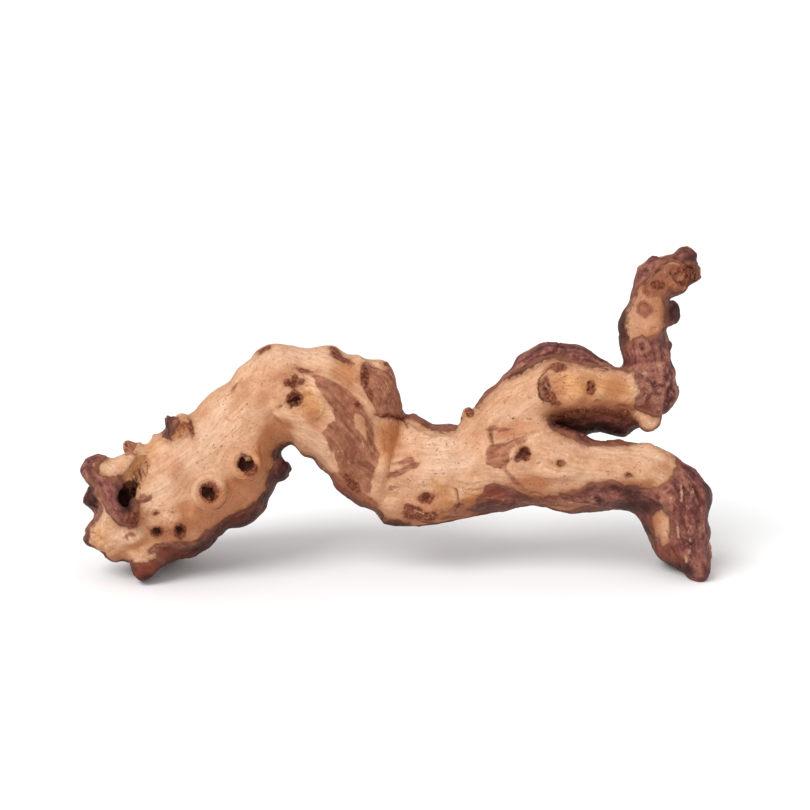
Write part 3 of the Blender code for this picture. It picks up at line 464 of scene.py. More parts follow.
# Thin pale lines and chips: line, half width.
LIGHT_LINES = [
    ([(184.4, 64.6), (186.9, 60.1), (187.6, 55)], 0.45),
    ([(187.2, 35), (186.2, 31.6), (188.3, 24.5), (186.6, 18)], 0.45), ([(-35.2, 81.3), (-30.7, 73.6)], 0.7),
    ([(-9, 128), (-4.6, 119.6)], 0.6), ([(-14, 128), (-12, 121)], 0.4), ([(181, 60), (181.6, 52)], 1.3),
    ([(179.8, 34), (179.6, 28)], 1), ([(184.4, 15.6), (184.6, 12)], 1.5), ([(194.7, 37), (194.9, 31)], 0.5),
    ([(-24, 92), (-21, 82)], 0.5), ([(-41, 88), (-34, 74)], 0.4), ([(76, 74.4), (82, 73.6), (86, 76)], 0.9),
    ([(94.6, 125), (95.6, 121)], 0.9), ([(11, 44.6), (16, 42.4)], 0.8), ([(20.4, 42.6), (23, 40.4)], 0.6),
    ([(-104.6, 68.8), (-101, 66), (-96, 65.4)], 0.6), ([(-131, 51), (-127, 47), (-120, 45.6)], 0.9),
    ([(-50, 116), (-47.6, 111), (-50, 106)], 0.7), ([(-189.8, 50), (-186, 43.4), (-178, 35.4)], 0.7),
    ([(-167.4, 122), (-150, 130)], 0.3),
    ([(146.6, 165), (149.4, 173), (152.4, 181.6), (156.4, 188.4), (164, 196.4)], 0.9),
    ([(176, 198.6), (183, 196)], 0.6), ([(-176.4, 69), (-172.6, 74.6), (-169, 80), (-165.8, 85)], 1.5),
    ([(151, 104.6), (153.6, 107.6)], 1.2),
]
# Arcs of soft ripple in the waist and the burl: middle, radius, from and to angle in degrees.
RIPPLES = [
    (23, 87, 4.6, 0, 360), (23, 87, 8, 40, 250), (23, 87, 11.6, 70, 230), (27, 56.6, 3.4, 0, 300),
    (27, 56.6, 6.4, -70, 150), (27, 56.6, 9.4, -50, 120), (18, 68, 5, 200, 380), (18, 68, 8.6, 190, 330),
    (27, 56.6, 4.8, 150, 400), (-152, 42, 6, 150, 330), (-152, 42, 9.4, 180, 350),
    (-152, 42, 12.6, 190, 300), (169.8, 76.4, 3.6, 0, 360), (169.8, 76.4, 6.4, 20, 200),
    (-139.3, 32, 8.4, 200, 330), (80, 80, 10.4, 190, 330), (46, 88, 7, 90, 260), (-58, 112, 11.6, -60, 60),
    (157.7, 173.2, 3, 0, 300),
]

# The forks, as the solids are split: each limb's outline in the front view.
FORK_LEFT = (50, 109.5)
FORK_DOWN = (74, 104.5)
CROTCH = [(96, 101.5), (108, 96.5), (119, 93), (126, 91.8), (150, 90), (172, 90.5), (230, 96)]
REGIONS = {
    "trunk": [(-230, -30), (76, -30), FORK_DOWN, FORK_LEFT, (50, 240), (-230, 240)],
    "lower_branch": [(76, -30), (230, -30), *CROTCH[::-1], FORK_DOWN],
    "upper_branch": [FORK_LEFT, FORK_DOWN, *CROTCH, (230, 137), (142, 137), (142, 240), (50, 240)],
    "raised_tip": [(142, 137), (230, 137), (230, 240), (142, 240)],
}


# The lights: name, way they shine, how wide they look in degrees, strength.
LIGHTS = [("key", (0.46, 0.52, -0.72), 34.0, 2.0), ("fill", (-0.5, 0.6, -0.62), 60.0, 0.3)]
# The way towards the light; where the wood's surface turns away from it, its colour gets painted shade.
LIGHT_WAY = (-0.40, 0.42, 0.81)


def smooth(edge0, edge1, x):
    """0 at edge0, 1 at edge1, and a smooth step between."""
    t = np.clip((x - edge0) / (edge1 - edge0), 0.0, 1.0)
    return t * t * (3.0 - 2.0 * t)


def lattice(ix, iy, iz, seed):
    """A number from -1 to 1 for each whole-number place, by mixing the bits of its coordinates."""
    h = (ix * 73856093) ^ (iy * 19349663) ^ (iz * 83492791) ^ (seed * 2654435761)
    h = (h ^ (h >> 13)) * 1274126177 & 0xFFFFFFFF
    h = (h ^ (h >> 16)) * 2246822519 & 0xFFFFFFFF
    return ((h ^ (h >> 15)) & 0xFFFF) / 32767.5 - 1.0


def noise(x, y, z, seed):
    """Smooth noise from about -1 to 1 with features one unit wide."""
    cells = [np.floor(c).astype(np.int64) for c in (x, y, z)]
    fx, fy, fz = (c - i for c, i in zip((x, y, z), cells))
    fx, fy, fz = (f * f * f * (f * (f * 6 - 15) + 10) for f in (fx, fy, fz))
    ix, iy, iz = cells
    total = 0.0
    for dx in (0, 1):
        for dy in (0, 1):
            for dz in (0, 1):
                weight = (fx if dx else 1 - fx) * (fy if dy else 1 - fy) * (fz if dz else 1 - fz)
                total = total + weight * lattice(ix + dx, iy + dy, iz + dz, seed)
    return total


def layered(x, y, z, octaves, seed):
    """Noise with finer noise on it."""
    total, size = 0.0, 1.0
    for octave in range(octaves):
        total = total + size * noise(x, y, z, seed + octave)
        x, y, z, size = x * 2.03 + 7.1, y * 2.03 + 3.7, z * 2.03 + 5.3, size * 0.5
    return total


def line_distance(u, v, line):
    """Distance from each place to an open line of points."""
    best = np.full(u.shape, 1e9)
    for (au, av), (bu, bv) in zip(line, line[1:]):
        du, dv = bu - au, bv - av
        t = np.clip(((u - au) * du + (v - av) * dv) / (du * du + dv * dv), 0.0, 1.0)
        best = np.minimum(best, (u - au - t * du) ** 2 + (v - av - t * dv) ** 2)
    return np.sqrt(best)


def inside(u, v, outline):
    """How far inside a closed outline each place is, in millimetres; outside it is below zero."""
    within = np.zeros(u.shape, bool)
    for (au, av), (bu, bv) in zip(outline, outline[1:] + outline[:1]):
        if av != bv:
            within ^= ((av > v) != (bv > v)) & (u < (bu - au) * (v - av) / (bv - av) + au)
    distance = line_distance(u, v, outline + outline[:1])
    return np.where(within, distance, -distance)


def inside_any(outlines, u, v):
    """How far inside any of the outlines each place is."""
    return np.maximum.reduce([inside(u, v, outline) for outline in outlines])


def inside_ovals(ovals, u, v):
    """How far inside any of the ovals each place is, in millimetres."""
    best = np.full(u.shape, -1e9)
    for middle_u, middle_v, half_u, half_v, turn in ovals:
        c, s = math.cos(math.radians(turn)), math.sin(math.radians(turn))
        du, dv = u - middle_u, v - middle_v
        reach = np.sqrt(((du * c + dv * s) / half_u) ** 2 + ((dv * c - du * s) / half_v) ** 2)
        best = np.maximum(best, (1.0 - reach) * min(half_u, half_v))
    return best


def on_lines(lines, u, v):
    """1 on any of the lines, falling off over its half width."""
    best = np.zeros(u.shape)
    for line, width in lines:
        best = np.maximum(best, np.exp(-((line_distance(u, v, line) / width) ** 2)))
    return best


def arc(middle_u, middle_v, radius, start, end):
    """Points along an arc, every 15 degrees."""
    steps = max(2, round(abs(end - start) / 15))
    angles = [math.radians(start + (end - start) * k / steps) for k in range(steps + 1)]
    return [(middle_u + radius * math.cos(a), middle_v + radius * math.sin(a)) for a in angles]


def front_view(points):
    """Where the eye sees each point, in millimetres across and up, and how far back it lies."""
    spots = points / MM - np.array(SET_DOWN)
    eye, away, up = np.array(EYE), np.array(AWAY), np.array(UP)
    ray = spots - eye
    seen = eye + ray * (EYE_DISTANCE / (ray @ away))[:, None]
    return seen[:, 0], seen @ up, spots[:, 1]


def towards_eye(points, normals):
    """1 where the skin faces the eye of the front view, -1 where it faces away."""
    sight = points / MM - np.array(SET_DOWN) - np.array(EYE)
    sight /= np.linalg.norm(sight, axis=1)[:, None]
    return -np.einsum("ij,ij->i", normals, sight)


def along_and_across(u, v):
    """Distance along the limb and across it from its middle line, eased from one limb into the next."""
    total, along, across = np.zeros((3, *u.shape))
    for line, passed in FIBRE_LINES:
        for (au, av), (bu, bv) in zip(line, line[1:]):
            du, dv = bu - au, bv - av
            length = math.hypot(du, dv)
            t = np.clip(((u - au) * du + (v - av) * dv) / length**2, -0.15, 1.15)
            weight = 1.0 / (np.hypot(u - au - t * du, v - av - t * dv) + 2.0) ** 7
            total += weight
            along += weight * (passed + t * length)
            across += weight * ((v - av) * du - (u - au) * dv) / length
            passed += length
    return along / total, across / total


def grain_places(u, v):
    """Places across and along the fibres, swept round each knot and ringed inside it."""
    along, across = along_and_across(u, v)
    for ku, kv, collar, *_hole in KNOTS:
        _, at_knot = along_and_across(np.array([ku]), np.array([kv]))
        r = np.hypot(u - ku, v - kv)
        near = np.exp(-((r / (3.0 * collar)) ** 2))
        swept = across - (across - at_knot[0]) * np.minimum(1.0, (collar / np.maximum(r, 0.1)) ** 2) * near
        rings = at_knot[0] + (r - collar) * 1.3
        across = np.where(r < collar, rings + (swept - rings) * smooth(0.8 * collar, collar, r), swept)
    return across, along


def read(items, name, width):
    """A value of each vertex or face, one row each."""
    values = np.empty(len(items) * width)
    items.foreach_get(name, values)
    return values.reshape(-1, width)


def write_layer(mesh, name, *columns):
    """Three numbers for each vertex, which the material reads."""
    layer = mesh.attributes.new(name, "FLOAT_VECTOR", "POINT")
    layer.data.foreach_set("vector", np.stack(columns, axis=1).astype(np.float32).ravel())


def pick(obj):
    """Selects this object alone and makes it the active one."""
    bpy.ops.object.select_all(action="DESELECT")
    obj.select_set(True)
    bpy.context.view_layer.objects.active = obj


def edit_faces(obj, chosen, operation, **settings):
    """Runs one mesh operation on the chosen faces, or on all where chosen is None."""
    pick(obj)
    bpy.ops.object.mode_set(mode="EDIT")
    bpy.ops.mesh.select_mode(type="FACE")
    bpy.ops.mesh.select_all(action="SELECT" if chosen is None else "DESELECT")
    if chosen is not None:
        bpy.ops.object.mode_set(mode="OBJECT")
        obj.data.polygons.foreach_set("select", chosen)
        bpy.ops.object.mode_set(mode="EDIT")
    operation(**settings)
    bpy.ops.object.mode_set(mode="OBJECT")


def apply_all(obj):
    """Applies the object's modifiers in order."""
    pick(obj)
    for modifier in list(obj.modifiers):
        bpy.ops.object.modifier_apply(modifier=modifier.name)


def displace(obj, millimetres):
    """Moves the whole surface outwards."""
    modifier = obj.modifiers.new("displace", "DISPLACE")
    modifier.strength = millimetres * MM
    modifier.mid_level = 0.0


def join_copies(names):
    """One loose copy of these solids, each swelled a little so that the fork gaps close."""
    copies = []
    for name in names:
        copy = bpy.data.objects.new("skin_" + name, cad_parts[name].data.copy())
        bpy.context.scene.collection.objects.link(copy)
        edit_faces(copy, None, bpy.ops.mesh.remove_doubles, threshold=0.00001)
        displace(copy, SWELL)
        apply_all(copy)
        copies.append(copy)
    pick(copies[0])
    for copy in copies:
        copy.select_set(True)
    bpy.ops.object.join()
    return copies[0]


def fine_skin():
    """One fine, even mesh over all the limbs."""
    skin = join_copies(REGIONS)
    remesh = skin.modifiers.new("fine", "REMESH")
    remesh.mode = "VOXEL"
    remesh.voxel_size = SKIN_CELL * MM
    even = skin.modifiers.new("even", "SMOOTH")
    even.factor = 0.5
    even.iterations = EVEN_STEPS
    displace(skin, -SETTLE)
    apply_all(skin)
    return skin


def refine(obj):
    """Splits the faces of the fine skin round the knots, crusts and cracks, for their small forms."""
    faces = obj.data.polygons
    centres = read(faces, "center", 3)
    u, v, _ = front_view(centres)
    close = inside_ovals(CRUST, u, v) > -0.5
    for ku, kv, _collar, hole, *_depth in KNOTS:
        close |= np.hypot(u - ku, v - kv) < hole * 1.3 + 1.0
    for line, width, _depth in CRACKS:
        close |= line_distance(u, v, line) < width + 0.8
    close &= towards_eye(centres, read(faces, "normal", 3)) > 0.02
    edit_faces(obj, close, bpy.ops.mesh.subdivide, number_cuts=1)


class Skin:
    """The points of the skin, where the eye sees them, the rise that they get, and the painted shade of their
    hollows.
    """

    def __init__(self, points, normals):
        self.normals, self.places = normals, points / MM
        self.y = self.places[:, 1]
        self.u, self.v, self.depth = front_view(points)
        self.facing = towards_eye(points, normals)
        in_hook = (inside_ovals([HOOK_HOLLOW], self.u, self.v) > 0) & (self.depth < HOOK_DEPTH)
        self.front = np.maximum(smooth(-0.02, 0.22, self.facing), in_hook)
        self.stray_u, self.stray_v = self.grain(6, 11, 2), self.grain(6, 21, 2)
        self.pu, self.pv = self.strayed(0.7)
        self.across, self.along = grain_places(self.u, self.v)
        self.clouds, self.crumbs = self.grain(30, 51, 2), self.grain(1.5, 81, 2)
        self.rise, self.depth_shade = np.zeros((2, *self.u.shape))

    def grain(self, size, seed, octaves=1):
        """Noise with features of this size in millimetres."""
        return layered(*(self.places / size).T, octaves, seed)

    def strayed(self, reach):
        """The places in the front view, moved a little at random so that edges aren't clean."""
        return self.u + reach * self.stray_u, self.v + reach * self.stray_v

    def faced(self, front_value, back_value, limit):
        """What the front view shows, eased over the sides into what lies behind."""
        front, back = np.clip(front_value, -limit, limit), np.clip(back_value, -limit, limit)
        return front * self.front + back * (1.0 - self.front)

    def paint_depth_shade(self, depth_shade):
        """Notes what lies deep, which the material paints as shade."""
        self.depth_shade = np.maximum(self.depth_shade, depth_shade)


def cover_zones(skin):
    """How far inside each kind of cover the points are, in millimetres; behind, noise lays it out, with bark
    and black most on the undersides, the black there being painted shade.
    """
    pu, pv, clouds, down = skin.pu, skin.pv, skin.clouds, -skin.normals[:, 2]
    patches = layered(skin.along / 46, skin.across / 17, skin.y / 17, 3, 31)
    streaks = layered(skin.along / 40, skin.across / 12, skin.y / 12, 3, 41)
    bare = inside_any(BARE.values(), pu, pv)
    bark_u, bark_v = pu + 0.6 * skin.grain(2.4, 191), pv + 0.6 * skin.grain(2.4, 201)
    bark = np.minimum(inside_any(BARK.values(), bark_u, bark_v), -bare)
    stain = np.minimum(inside_any(STAIN.values(), pu, pv), -bare)
    rough = smooth(-1.5, 3.0, inside_ovals(ROUGH, pu, pv))
    return SimpleNamespace(
        bark=skin.faced(bark, 6.0 * (patches - 0.05 + 0.9 * down), 9.0),
        stain=skin.faced(stain, 7.0 * (streaks - 0.42), 9.0),
        ochre=skin.faced(inside_any(OCHRE.values(), pu, pv), 8.0 * (clouds - 0.25), 12.0),
        # Pale wood, and painted highlight on tops that face the light.
        pale=skin.faced(inside_any(PALE_AND_HIGHLIGHT.values(), pu, pv), -8.0 * (clouds + 0.30), 12.0),
        crust=skin.faced(inside_ovals(CRUST, pu, pv) + 0.4, -5.0, 5.0),
        # Black: burnt places and painted deep shade, and behind, painted shade on the undersides.
        black=skin.faced(inside_ovals(BLACK, pu, pv), 5.0 * (down - 0.75 + 0.5 * patches), 6.0),
        reddish=skin.faced(inside_ovals(REDDISH, pu, pv), 5.0 * (clouds - 0.2), 6.0),
        rubbed=skin.faced(inside_ovals(RUBBED, pu, pv), 6.0 * (clouds - 0.35), 6.0),
        rough=skin.faced(rough, 0.6 * smooth(0.2, 0.6, clouds), 1.0),
        torn=smooth(-1.0, 2.0, inside_any([OCHRE["mouth"]], pu, pv)) * skin.front,
    )


def carve_knots(skin):
    """Raises the collars and sinks ragged holes, with painted shade in them."""
    for ku, kv, collar, hole, height, deep, ragged in KNOTS:
        du, dv = skin.u - ku, skin.v - kv
        r = np.hypot(du, dv)
        turn = 2.1 / np.maximum(r, 0.1)
        edge = r * (1.0 + ragged * noise(turn * du, turn * dv, 0.3 * skin.y, 61) + 0.10 * skin.stray_u)
        skin.rise += height * np.exp(-(((r - 0.78 * collar) / (0.24 * collar)) ** 2)) * skin.front
        pit = (1.0 - smooth(0.62 * hole, 1.08 * hole, edge)) * skin.front
        skin.rise -= pit * (deep - min(0.9, 0.3 * deep) * skin.crumbs)
        skin.paint_depth_shade(pit * min(1.0, 0.15 + deep / 4.2))


def carve_bumps(skin):
    """Bumps and dents, most of them on the outline."""
    seen = smooth(-0.5, 0.1, skin.facing)
    for u, v, radius, height in BUMPS:
        skin.rise += height * np.exp(-(((skin.u - u) ** 2 + (skin.v - v) ** 2) / radius**2)) * seen


def carve_lines(skin):
    """Cracks, whose width wavers and which get painted shade, raised lines and soft ripples."""
    u, v = skin.strayed(0.5)
    waver = 1.0 + 0.55 * skin.grain(3.2, 151)
    for line, width, deep in CRACKS:
        groove = np.exp(-((line_distance(u, v, line) / (width * waver)) ** 2)) * skin.front
        skin.rise -= deep * groove * np.minimum(waver, 1.1)
        skin.paint_depth_shade(min(0.78, 0.28 + 0.30 * deep) * groove)
    for line, width, height in RIDGES:
        skin.rise += height * on_lines([(line, width)], u, v) * skin.front
    skin.rippled = on_lines([(arc(*ripple), 1.0) for ripple in RIPPLES], *skin.strayed(0.6)) * skin.front
    skin.rise -= 0.36 * skin.rippled


def set_plugs(skin, cover):
    """Stands the clean ends of dead wood in their holes, and takes the painted shade and the crust off them.
    """
    for u, v, radius, height in PLUGS:
        away = np.hypot(skin.pu - u, skin.pv - v)
        plug = (1.0 - smooth(0.55 * radius, 1.15 * radius, away)) * skin.front
        skin.rise += height * plug
        skin.depth_shade *= 1.0 - plug
        cover.crust -= 6.0 * plug


def carve_bark(skin, cover, on_bark):
    """Bark stands a little proud, wrinkles along the fibres and opens in fissures, which get painted shade.
    """
    wrinkles = layered(skin.across / 5, skin.y / 5, skin.along / 24, 3, 71)
    fissure = (1.0 - smooth(0.02, 0.16, np.abs(wrinkles))) * smooth(-0.1, 0.5, skin.grain(12, 161, 2))
    skin.rise += on_bark * (0.75 + 0.40 * wrinkles - 0.60 * fissure)
    skin.paint_depth_shade(0.62 * fissure * smooth(0.3, 1.6, cover.bark))


def carve_wood(skin, cover, on_bark):
    """Lumpy crusts, rough and torn places, growth ridges, a slow unevenness and pores, which get painted
    shade.
    """
    skin.rise += smooth(-0.6, 1.2, cover.crust) * (0.15 + 0.60 * skin.crumbs)
    skin.rise += cover.rough * 0.55 * skin.grain(3.4, 131, 3)
    jagged = smooth(-1.5, 3.0, inside_ovals(TORN, skin.pu, skin.pv)) * skin.front
    skin.rise += jagged * 1.3 * skin.grain(4.2, 171, 2)
    torn_across, torn_along = 0.85 * skin.u - 0.5 * skin.v, 0.5 * skin.u + 0.85 * skin.v
    skin.rise += cover.torn * 0.8 * layered(torn_across / 1.9, skin.y / 6, torn_along / 14, 2, 141)
    growth = layered(skin.across / 3.2, skin.y / 3.2, skin.along / 42, 3, 91)
    skin.rise += (1.0 - on_bark) * 0.20 * growth
    skin.rise += 0.6 * skin.grain(14, 101, 2) + 0.12 * skin.grain(3.6, 181, 2)
    pores = np.clip((skin.grain(1.5, 111) - 0.60) * 3, 0, 1)
    pores *= smooth(0.05, 0.45, skin.grain(15, 121)) * (1.0 - 0.7 * on_bark)
    skin.rise -= 0.6 * pores
    skin.paint_depth_shade(0.6 * pores)


def settle(points):
    """Lifts what hangs below the lowest outlines, and keeps the skin inside the box of the solids."""
    u, v, _ = front_view(points)
    for line in LOWEST:
        line_u, line_v = zip(*line)
        below = np.interp(u, line_u, line_v) - v
        along_line = smooth(line_u[0], line_u[0] + 3.0, u) * smooth(line_u[-1], line_u[-1] - 3.0, u)
        lift = 0.9 * np.clip(below, 0.0, 6.0) * (1.0 - smooth(6.0, 9.0, below)) * along_line
        points = points + np.outer(lift * MM, UP)
    low, high = np.array(cad_box)
    return np.clip(points, low + BOX_INSET * MM, high - BOX_INSET * MM)


def patina(skin, cover):
    """How much painted shade, as a warm browning, the wood gets: most where it turns away from the light, and
    in the ovals of painted shade and weathering.
    """
    turned = skin.normals * (1.0, 0.0, 1.0) + np.abs(skin.normals) * (0.0, 1.0, 0.0)
    shaded = smooth(0.60, -0.50, turned @ np.array(LIGHT_WAY))
    shade_and_weathered = smooth(-4.0, 6.0, inside_ovals(SHADE_AND_WEATHERING, skin.pu, skin.pv))
    shade_and_weathered = skin.faced(shade_and_weathered, smooth(-0.1, 0.7, skin.clouds), 1.0)
    return np.clip(shaded + 0.75 * shade_and_weathered - 0.6 * cover.torn, 0.0, 1.3)


def carve(obj):
    """Gives the fine skin its relief, and notes what covers each point and where it gets painted shade and
    highlight.
    """
    mesh = obj.data
    points, normals = read(mesh.vertices, "co", 3), read(mesh.vertices, "normal", 3)
    skin = Skin(points, normals)
    cover = cover_zones(skin)
    carve_knots(skin)
    carve_bumps(skin)
    carve_lines(skin)
    set_plugs(skin, cover)
    on_bark = smooth(-0.25, 0.65, cover.bark)
    carve_bark(skin, cover, on_bark)
    carve_wood(skin, cover, on_bark)
    mesh.vertices.foreach_set("co", settle(points + normals * (skin.rise * MM)[:, None]).ravel())
    mesh.update()
    brown = np.maximum(on_lines(BROWN_LINES, skin.pu, skin.pv) * skin.front, 0.5 * skin.rippled)
    light = on_lines(LIGHT_LINES, skin.pu, skin.pv) * skin.front
    light = np.maximum(light, 0.45 * smooth(-2.0, 2.5, cover.rubbed))
    write_layer(mesh, "fibre", skin.across, skin.depth, skin.along)
    write_layer(mesh, "cover", cover.bark, cover.stain, cover.ochre)
    # The marks layer holds crusts, the painted shade of deep places, and pale wood with painted highlight.
    write_layer(mesh, "marks", cover.crust, skin.depth_shade, cover.pale)
    write_layer(mesh, "strokes", brown, light, cover.black)
    # Painted shade as a warm browning, then reddish bark and rough wood.
    write_layer(mesh, "shade_and_weather", patina(skin, cover), cover.reddish, cover.rough)


def split_at_forks(skin):
    """One closed piece for each limb, with the whole skin's shading across the forks."""
    mesh = skin.data
    u, v, _ = front_view(read(mesh.polygons, "center", 3))
    limb = np.stack([inside(u, v, outline) for outline in REGIONS.values()]).argmax(axis=0)
    whole_normals = read(mesh.vertices, "normal", 3)
    write_layer(mesh, "whole_normal", *whole_normals.T)
    pieces = []
    for number, name in enumerate(REGIONS):
        piece = bpy.data.objects.new(name + "_wood", mesh.copy())
        bpy.context.scene.collection.objects.link(piece)
        edit_faces(piece, limb != number, bpy.ops.mesh.delete, type="FACE")
        skin_faces = len(piece.data.polygons)
        edit_faces(piece, None, bpy.ops.mesh.fill_holes, sides=0)
        shade_as_whole(piece.data, skin_faces)
        pieces.append(piece)
    bpy.data.objects.remove(skin)
    return pieces


def shade_as_whole(mesh, skin_faces):
    """Gives the skin's corners the whole skin's normals; the flat ends inside the forks keep their own."""
    mesh.shade_smooth()
    whole = read(mesh.attributes["whole_normal"].data, "vector", 3)
    corner_vertex = np.empty(len(mesh.loops), np.int64)
    mesh.loops.foreach_get("vertex_index", corner_vertex)
    corner_normals = whole[corner_vertex]
    for polygon in mesh.polygons[skin_faces:]:
        first = polygon.loop_start
        corner_normals[first : first + polygon.loop_total] = polygon.normal
    mesh.normals_split_custom_set(corner_normals.tolist())
    mesh.attributes.remove(mesh.attributes["whole_normal"])


class Shading:
    """Short names for the shader nodes of one material."""

    def __init__(self, material):
        self.nodes, self.links = material.node_tree.nodes, material.node_tree.links

    def put(self, socket, value):
        """Links a socket, or sets it to a number or a colour."""
        if isinstance(value, bpy.types.NodeSocket):
            self.links.new(value, socket)
        else:
            socket.default_value = (*value, 1.0) if isinstance(value, tuple) else value

    def layer(self, name):
        """A layer of the skin, whole and as its three numbers."""
        node = self.nodes.new("ShaderNodeAttribute")
        node.attribute_name = name
        split = self.nodes.new("ShaderNodeSeparateXYZ")
        self.links.new(node.outputs["Vector"], split.inputs[0])
        return node.outputs["Vector"], *split.outputs

    def calc(self, operation, first, second=0.0):
        node = self.nodes.new("ShaderNodeMath")
        node.operation = operation
        self.put(node.inputs[0], first)
        self.put(node.inputs[1], second)
        return node.outputs[0]

    def times(self, first, second):
        return self.calc("MULTIPLY", first, second)

    def total(self, *terms):
        """The sum of values and of pairs of a value and its weight."""
        result = None
        for term in terms:
            value = self.times(*term) if isinstance(term, tuple) else term
            result = value if result is None else self.calc("ADD", result, value)
        return result

    def centred(self, value, size):
        """A texture value, which lies round 0.5, as a number round 0 times size."""
        return self.times(self.calc("SUBTRACT", value, 0.5), size)

    def texture(self, vector, scale, detail, rough, distortion=0.0):
        node = self.nodes.new("ShaderNodeTexNoise")
        settings = {"Scale": scale, "Detail": detail, "Roughness": rough, "Distortion": distortion}
        for name, value in settings.items():
            node.inputs[name].default_value = value
        self.links.new(vector, node.inputs["Vector"])
        return node.outputs["Fac"]

    def drawn_out(self, fibre, width, length, detail, rough, distortion=0.0):
        """A texture drawn out along the fibres."""
        node = self.nodes.new("ShaderNodeMapping")
        node.inputs["Scale"].default_value = (width, width, length)
        self.links.new(fibre, node.inputs["Vector"])
        return self.texture(node.outputs[0], 1.0, detail, rough, distortion)

    def ramp(self, value, *stops):
        """A colour from stops, each a place and a colour."""
        node = self.nodes.new("ShaderNodeValToRGB")
        elements = node.color_ramp.elements
        for element, (place, colour) in zip(elements, (stops[0], stops[-1])):
            element.position = place
            element.color = (*colour, 1.0)
        for place, colour in stops[1:-1]:
            elements.new(place).color = (*colour, 1.0)
        self.links.new(value, node.inputs[0])
        return node.outputs[0]

    def step(self, low, high, *terms):
        """0 where the sum of the terms is at low, 1 at high."""
        node = self.nodes.new("ShaderNodeMapRange")
        node.interpolation_type = "SMOOTHSTEP"
        node.inputs["From Min"].default_value = low
        node.inputs["From Max"].default_value = high
        self.links.new(self.total(*terms), node.inputs["Value"])
        return node.outputs[0]

    def fall(self, low, high, *terms):
        """1 where the sum of the terms is at low, 0 at high."""
        return self.calc("SUBTRACT", 1.0, self.step(low, high, *terms))

    def over(self, share, base, colour, mode="MIX"):
        """A share of the colour over the base."""
        node = self.nodes.new("ShaderNodeMix")
        node.data_type = "RGBA"
        node.blend_type = mode
        for name, value in (("Factor", share), ("A", base), ("B", colour)):
            self.put(next(s for s in node.inputs if s.name == name and s.enabled), value)
        return next(s for s in node.outputs if s.type == "RGBA")

    def where(self, low, high, most, base, colour, *terms):
        """The colour over the base, at most that much, where the terms' sum goes from low to high."""
        return self.over(self.times(self.step(low, high, *terms), most), base, colour)


def wood_maps(s):
    """The layers of the skin, and the textures that several parts of the material share."""
    m = SimpleNamespace(place=s.nodes.new("ShaderNodeTexCoord").outputs["Object"])
    m.fibre, m.across, _, _ = s.layer("fibre")
    _, m.bark, m.stain, m.ochre = s.layer("cover")
    _, m.crust, m.depth_shade, m.pale = s.layer("marks")
    _, m.brown_line, m.light_line, m.black = s.layer("strokes")
    _, m.patina, m.reddish, m.rough_wood = s.layer("shade_and_weather")
    m.lines = s.drawn_out(m.fibre, 0.50, 0.022, 3.0, 0.6)
    m.bands = s.drawn_out(m.fibre, 0.13, 0.010, 3.0, 0.55, 0.4)
    m.wrinkles = s.drawn_out(m.fibre, 0.26, 0.040, 5.0, 0.62, 0.5)
    m.flow = s.centred(s.drawn_out(m.fibre, 0.30, 0.035, 4.0, 0.6), 6.0)
    m.clouds = s.texture(m.place, 30.0, 3.0, 0.5)
    m.blotches = s.texture(m.place, 95.0, 4.0, 0.6)
    m.mottle = s.texture(m.place, 240.0, 4.0, 0.62)
    m.nibble = s.centred(s.texture(m.place, 330.0, 4.0, 0.65), 2.4)
    m.crumbs = s.texture(m.place, 620.0, 4.0, 0.7)
    m.fine = s.texture(m.place, 640.0, 3.0, 0.65)
    m.grit = s.texture(m.place, 950.0, 3.0, 0.6)
    m.ring = s.step(0.55, 1.0, s.calc("SINE", s.total((m.across, 2.5), (m.bands, 9.0), (m.lines, 2.0))))
    flecks = s.texture(m.place, 620.0, 1.0, 0.5)
    m.speck = s.times(s.step(0.64, 0.72, flecks), s.step(0.44, 0.58, m.blotches))
    m.on_bark = s.step(-0.4, 0.5, m.bark, (m.flow, 0.45), (m.nibble, 0.6))
    m.on_crust = s.step(-0.5, 0.9, m.crust, m.nibble)
    return m


def bare_wood(s, m):
    """Pinkish tan; paler where it was blasted most, with painted highlight on tops that face the light; warm
    where it is resinous, and painted shade on the lobe's right side; browned with painted shade where it
    turns away from the light.
    """
    line_brown = (0.33, 0.125, 0.050)
    tone = s.total((m.bands, 0.30), (m.blotches, 0.30), (m.clouds, 0.20), (m.mottle, 0.20))
    tan = ((0.41, (0.510, 0.258, 0.142)), (0.50, (0.645, 0.368, 0.222)), (0.59, (0.735, 0.462, 0.300)))
    wood = s.ramp(tone, *tan)
    warm = s.ramp(tone, (0.41, (0.420, 0.155, 0.048)), (0.59, (0.760, 0.390, 0.150)))
    # Warm ochre wood, and painted shade on the lobe's right side.
    wood = s.where(-4.0, 8.0, 0.74, wood, warm, m.ochre, m.flow, m.nibble)
    light = s.ramp(tone, (0.41, (0.680, 0.420, 0.280)), (0.59, (0.790, 0.545, 0.390)))
    # Pale wood, and painted highlight on tops that face the light.
    wood = s.where(-3.0, 6.0, 0.62, wood, light, m.pale, (m.flow, 0.30), (m.nibble, 0.5))
    # Painted shade: warm brown where the wood turns away from the light and in the ovals of painted shade and
    # weathering.
    shade_and_age = (m.patina, s.centred(m.blotches, 0.9), s.centred(m.mottle, 0.5))
    wood = s.where(0.10, 1.05, 0.72, wood, (0.360, 0.108, 0.034), *shade_and_age)
    wood = s.over(s.times(s.fall(0.38, 0.58, m.lines), 0.22), wood, line_brown)
    wood = s.over(s.times(s.times(m.ring, s.step(0.42, 0.60, m.clouds)), 0.16), wood, line_brown)
    return s.where(0.52, 0.68, 0.20, wood, (0.50, 0.200, 0.100), s.texture(m.place, 48.0, 2.0, 0.5))


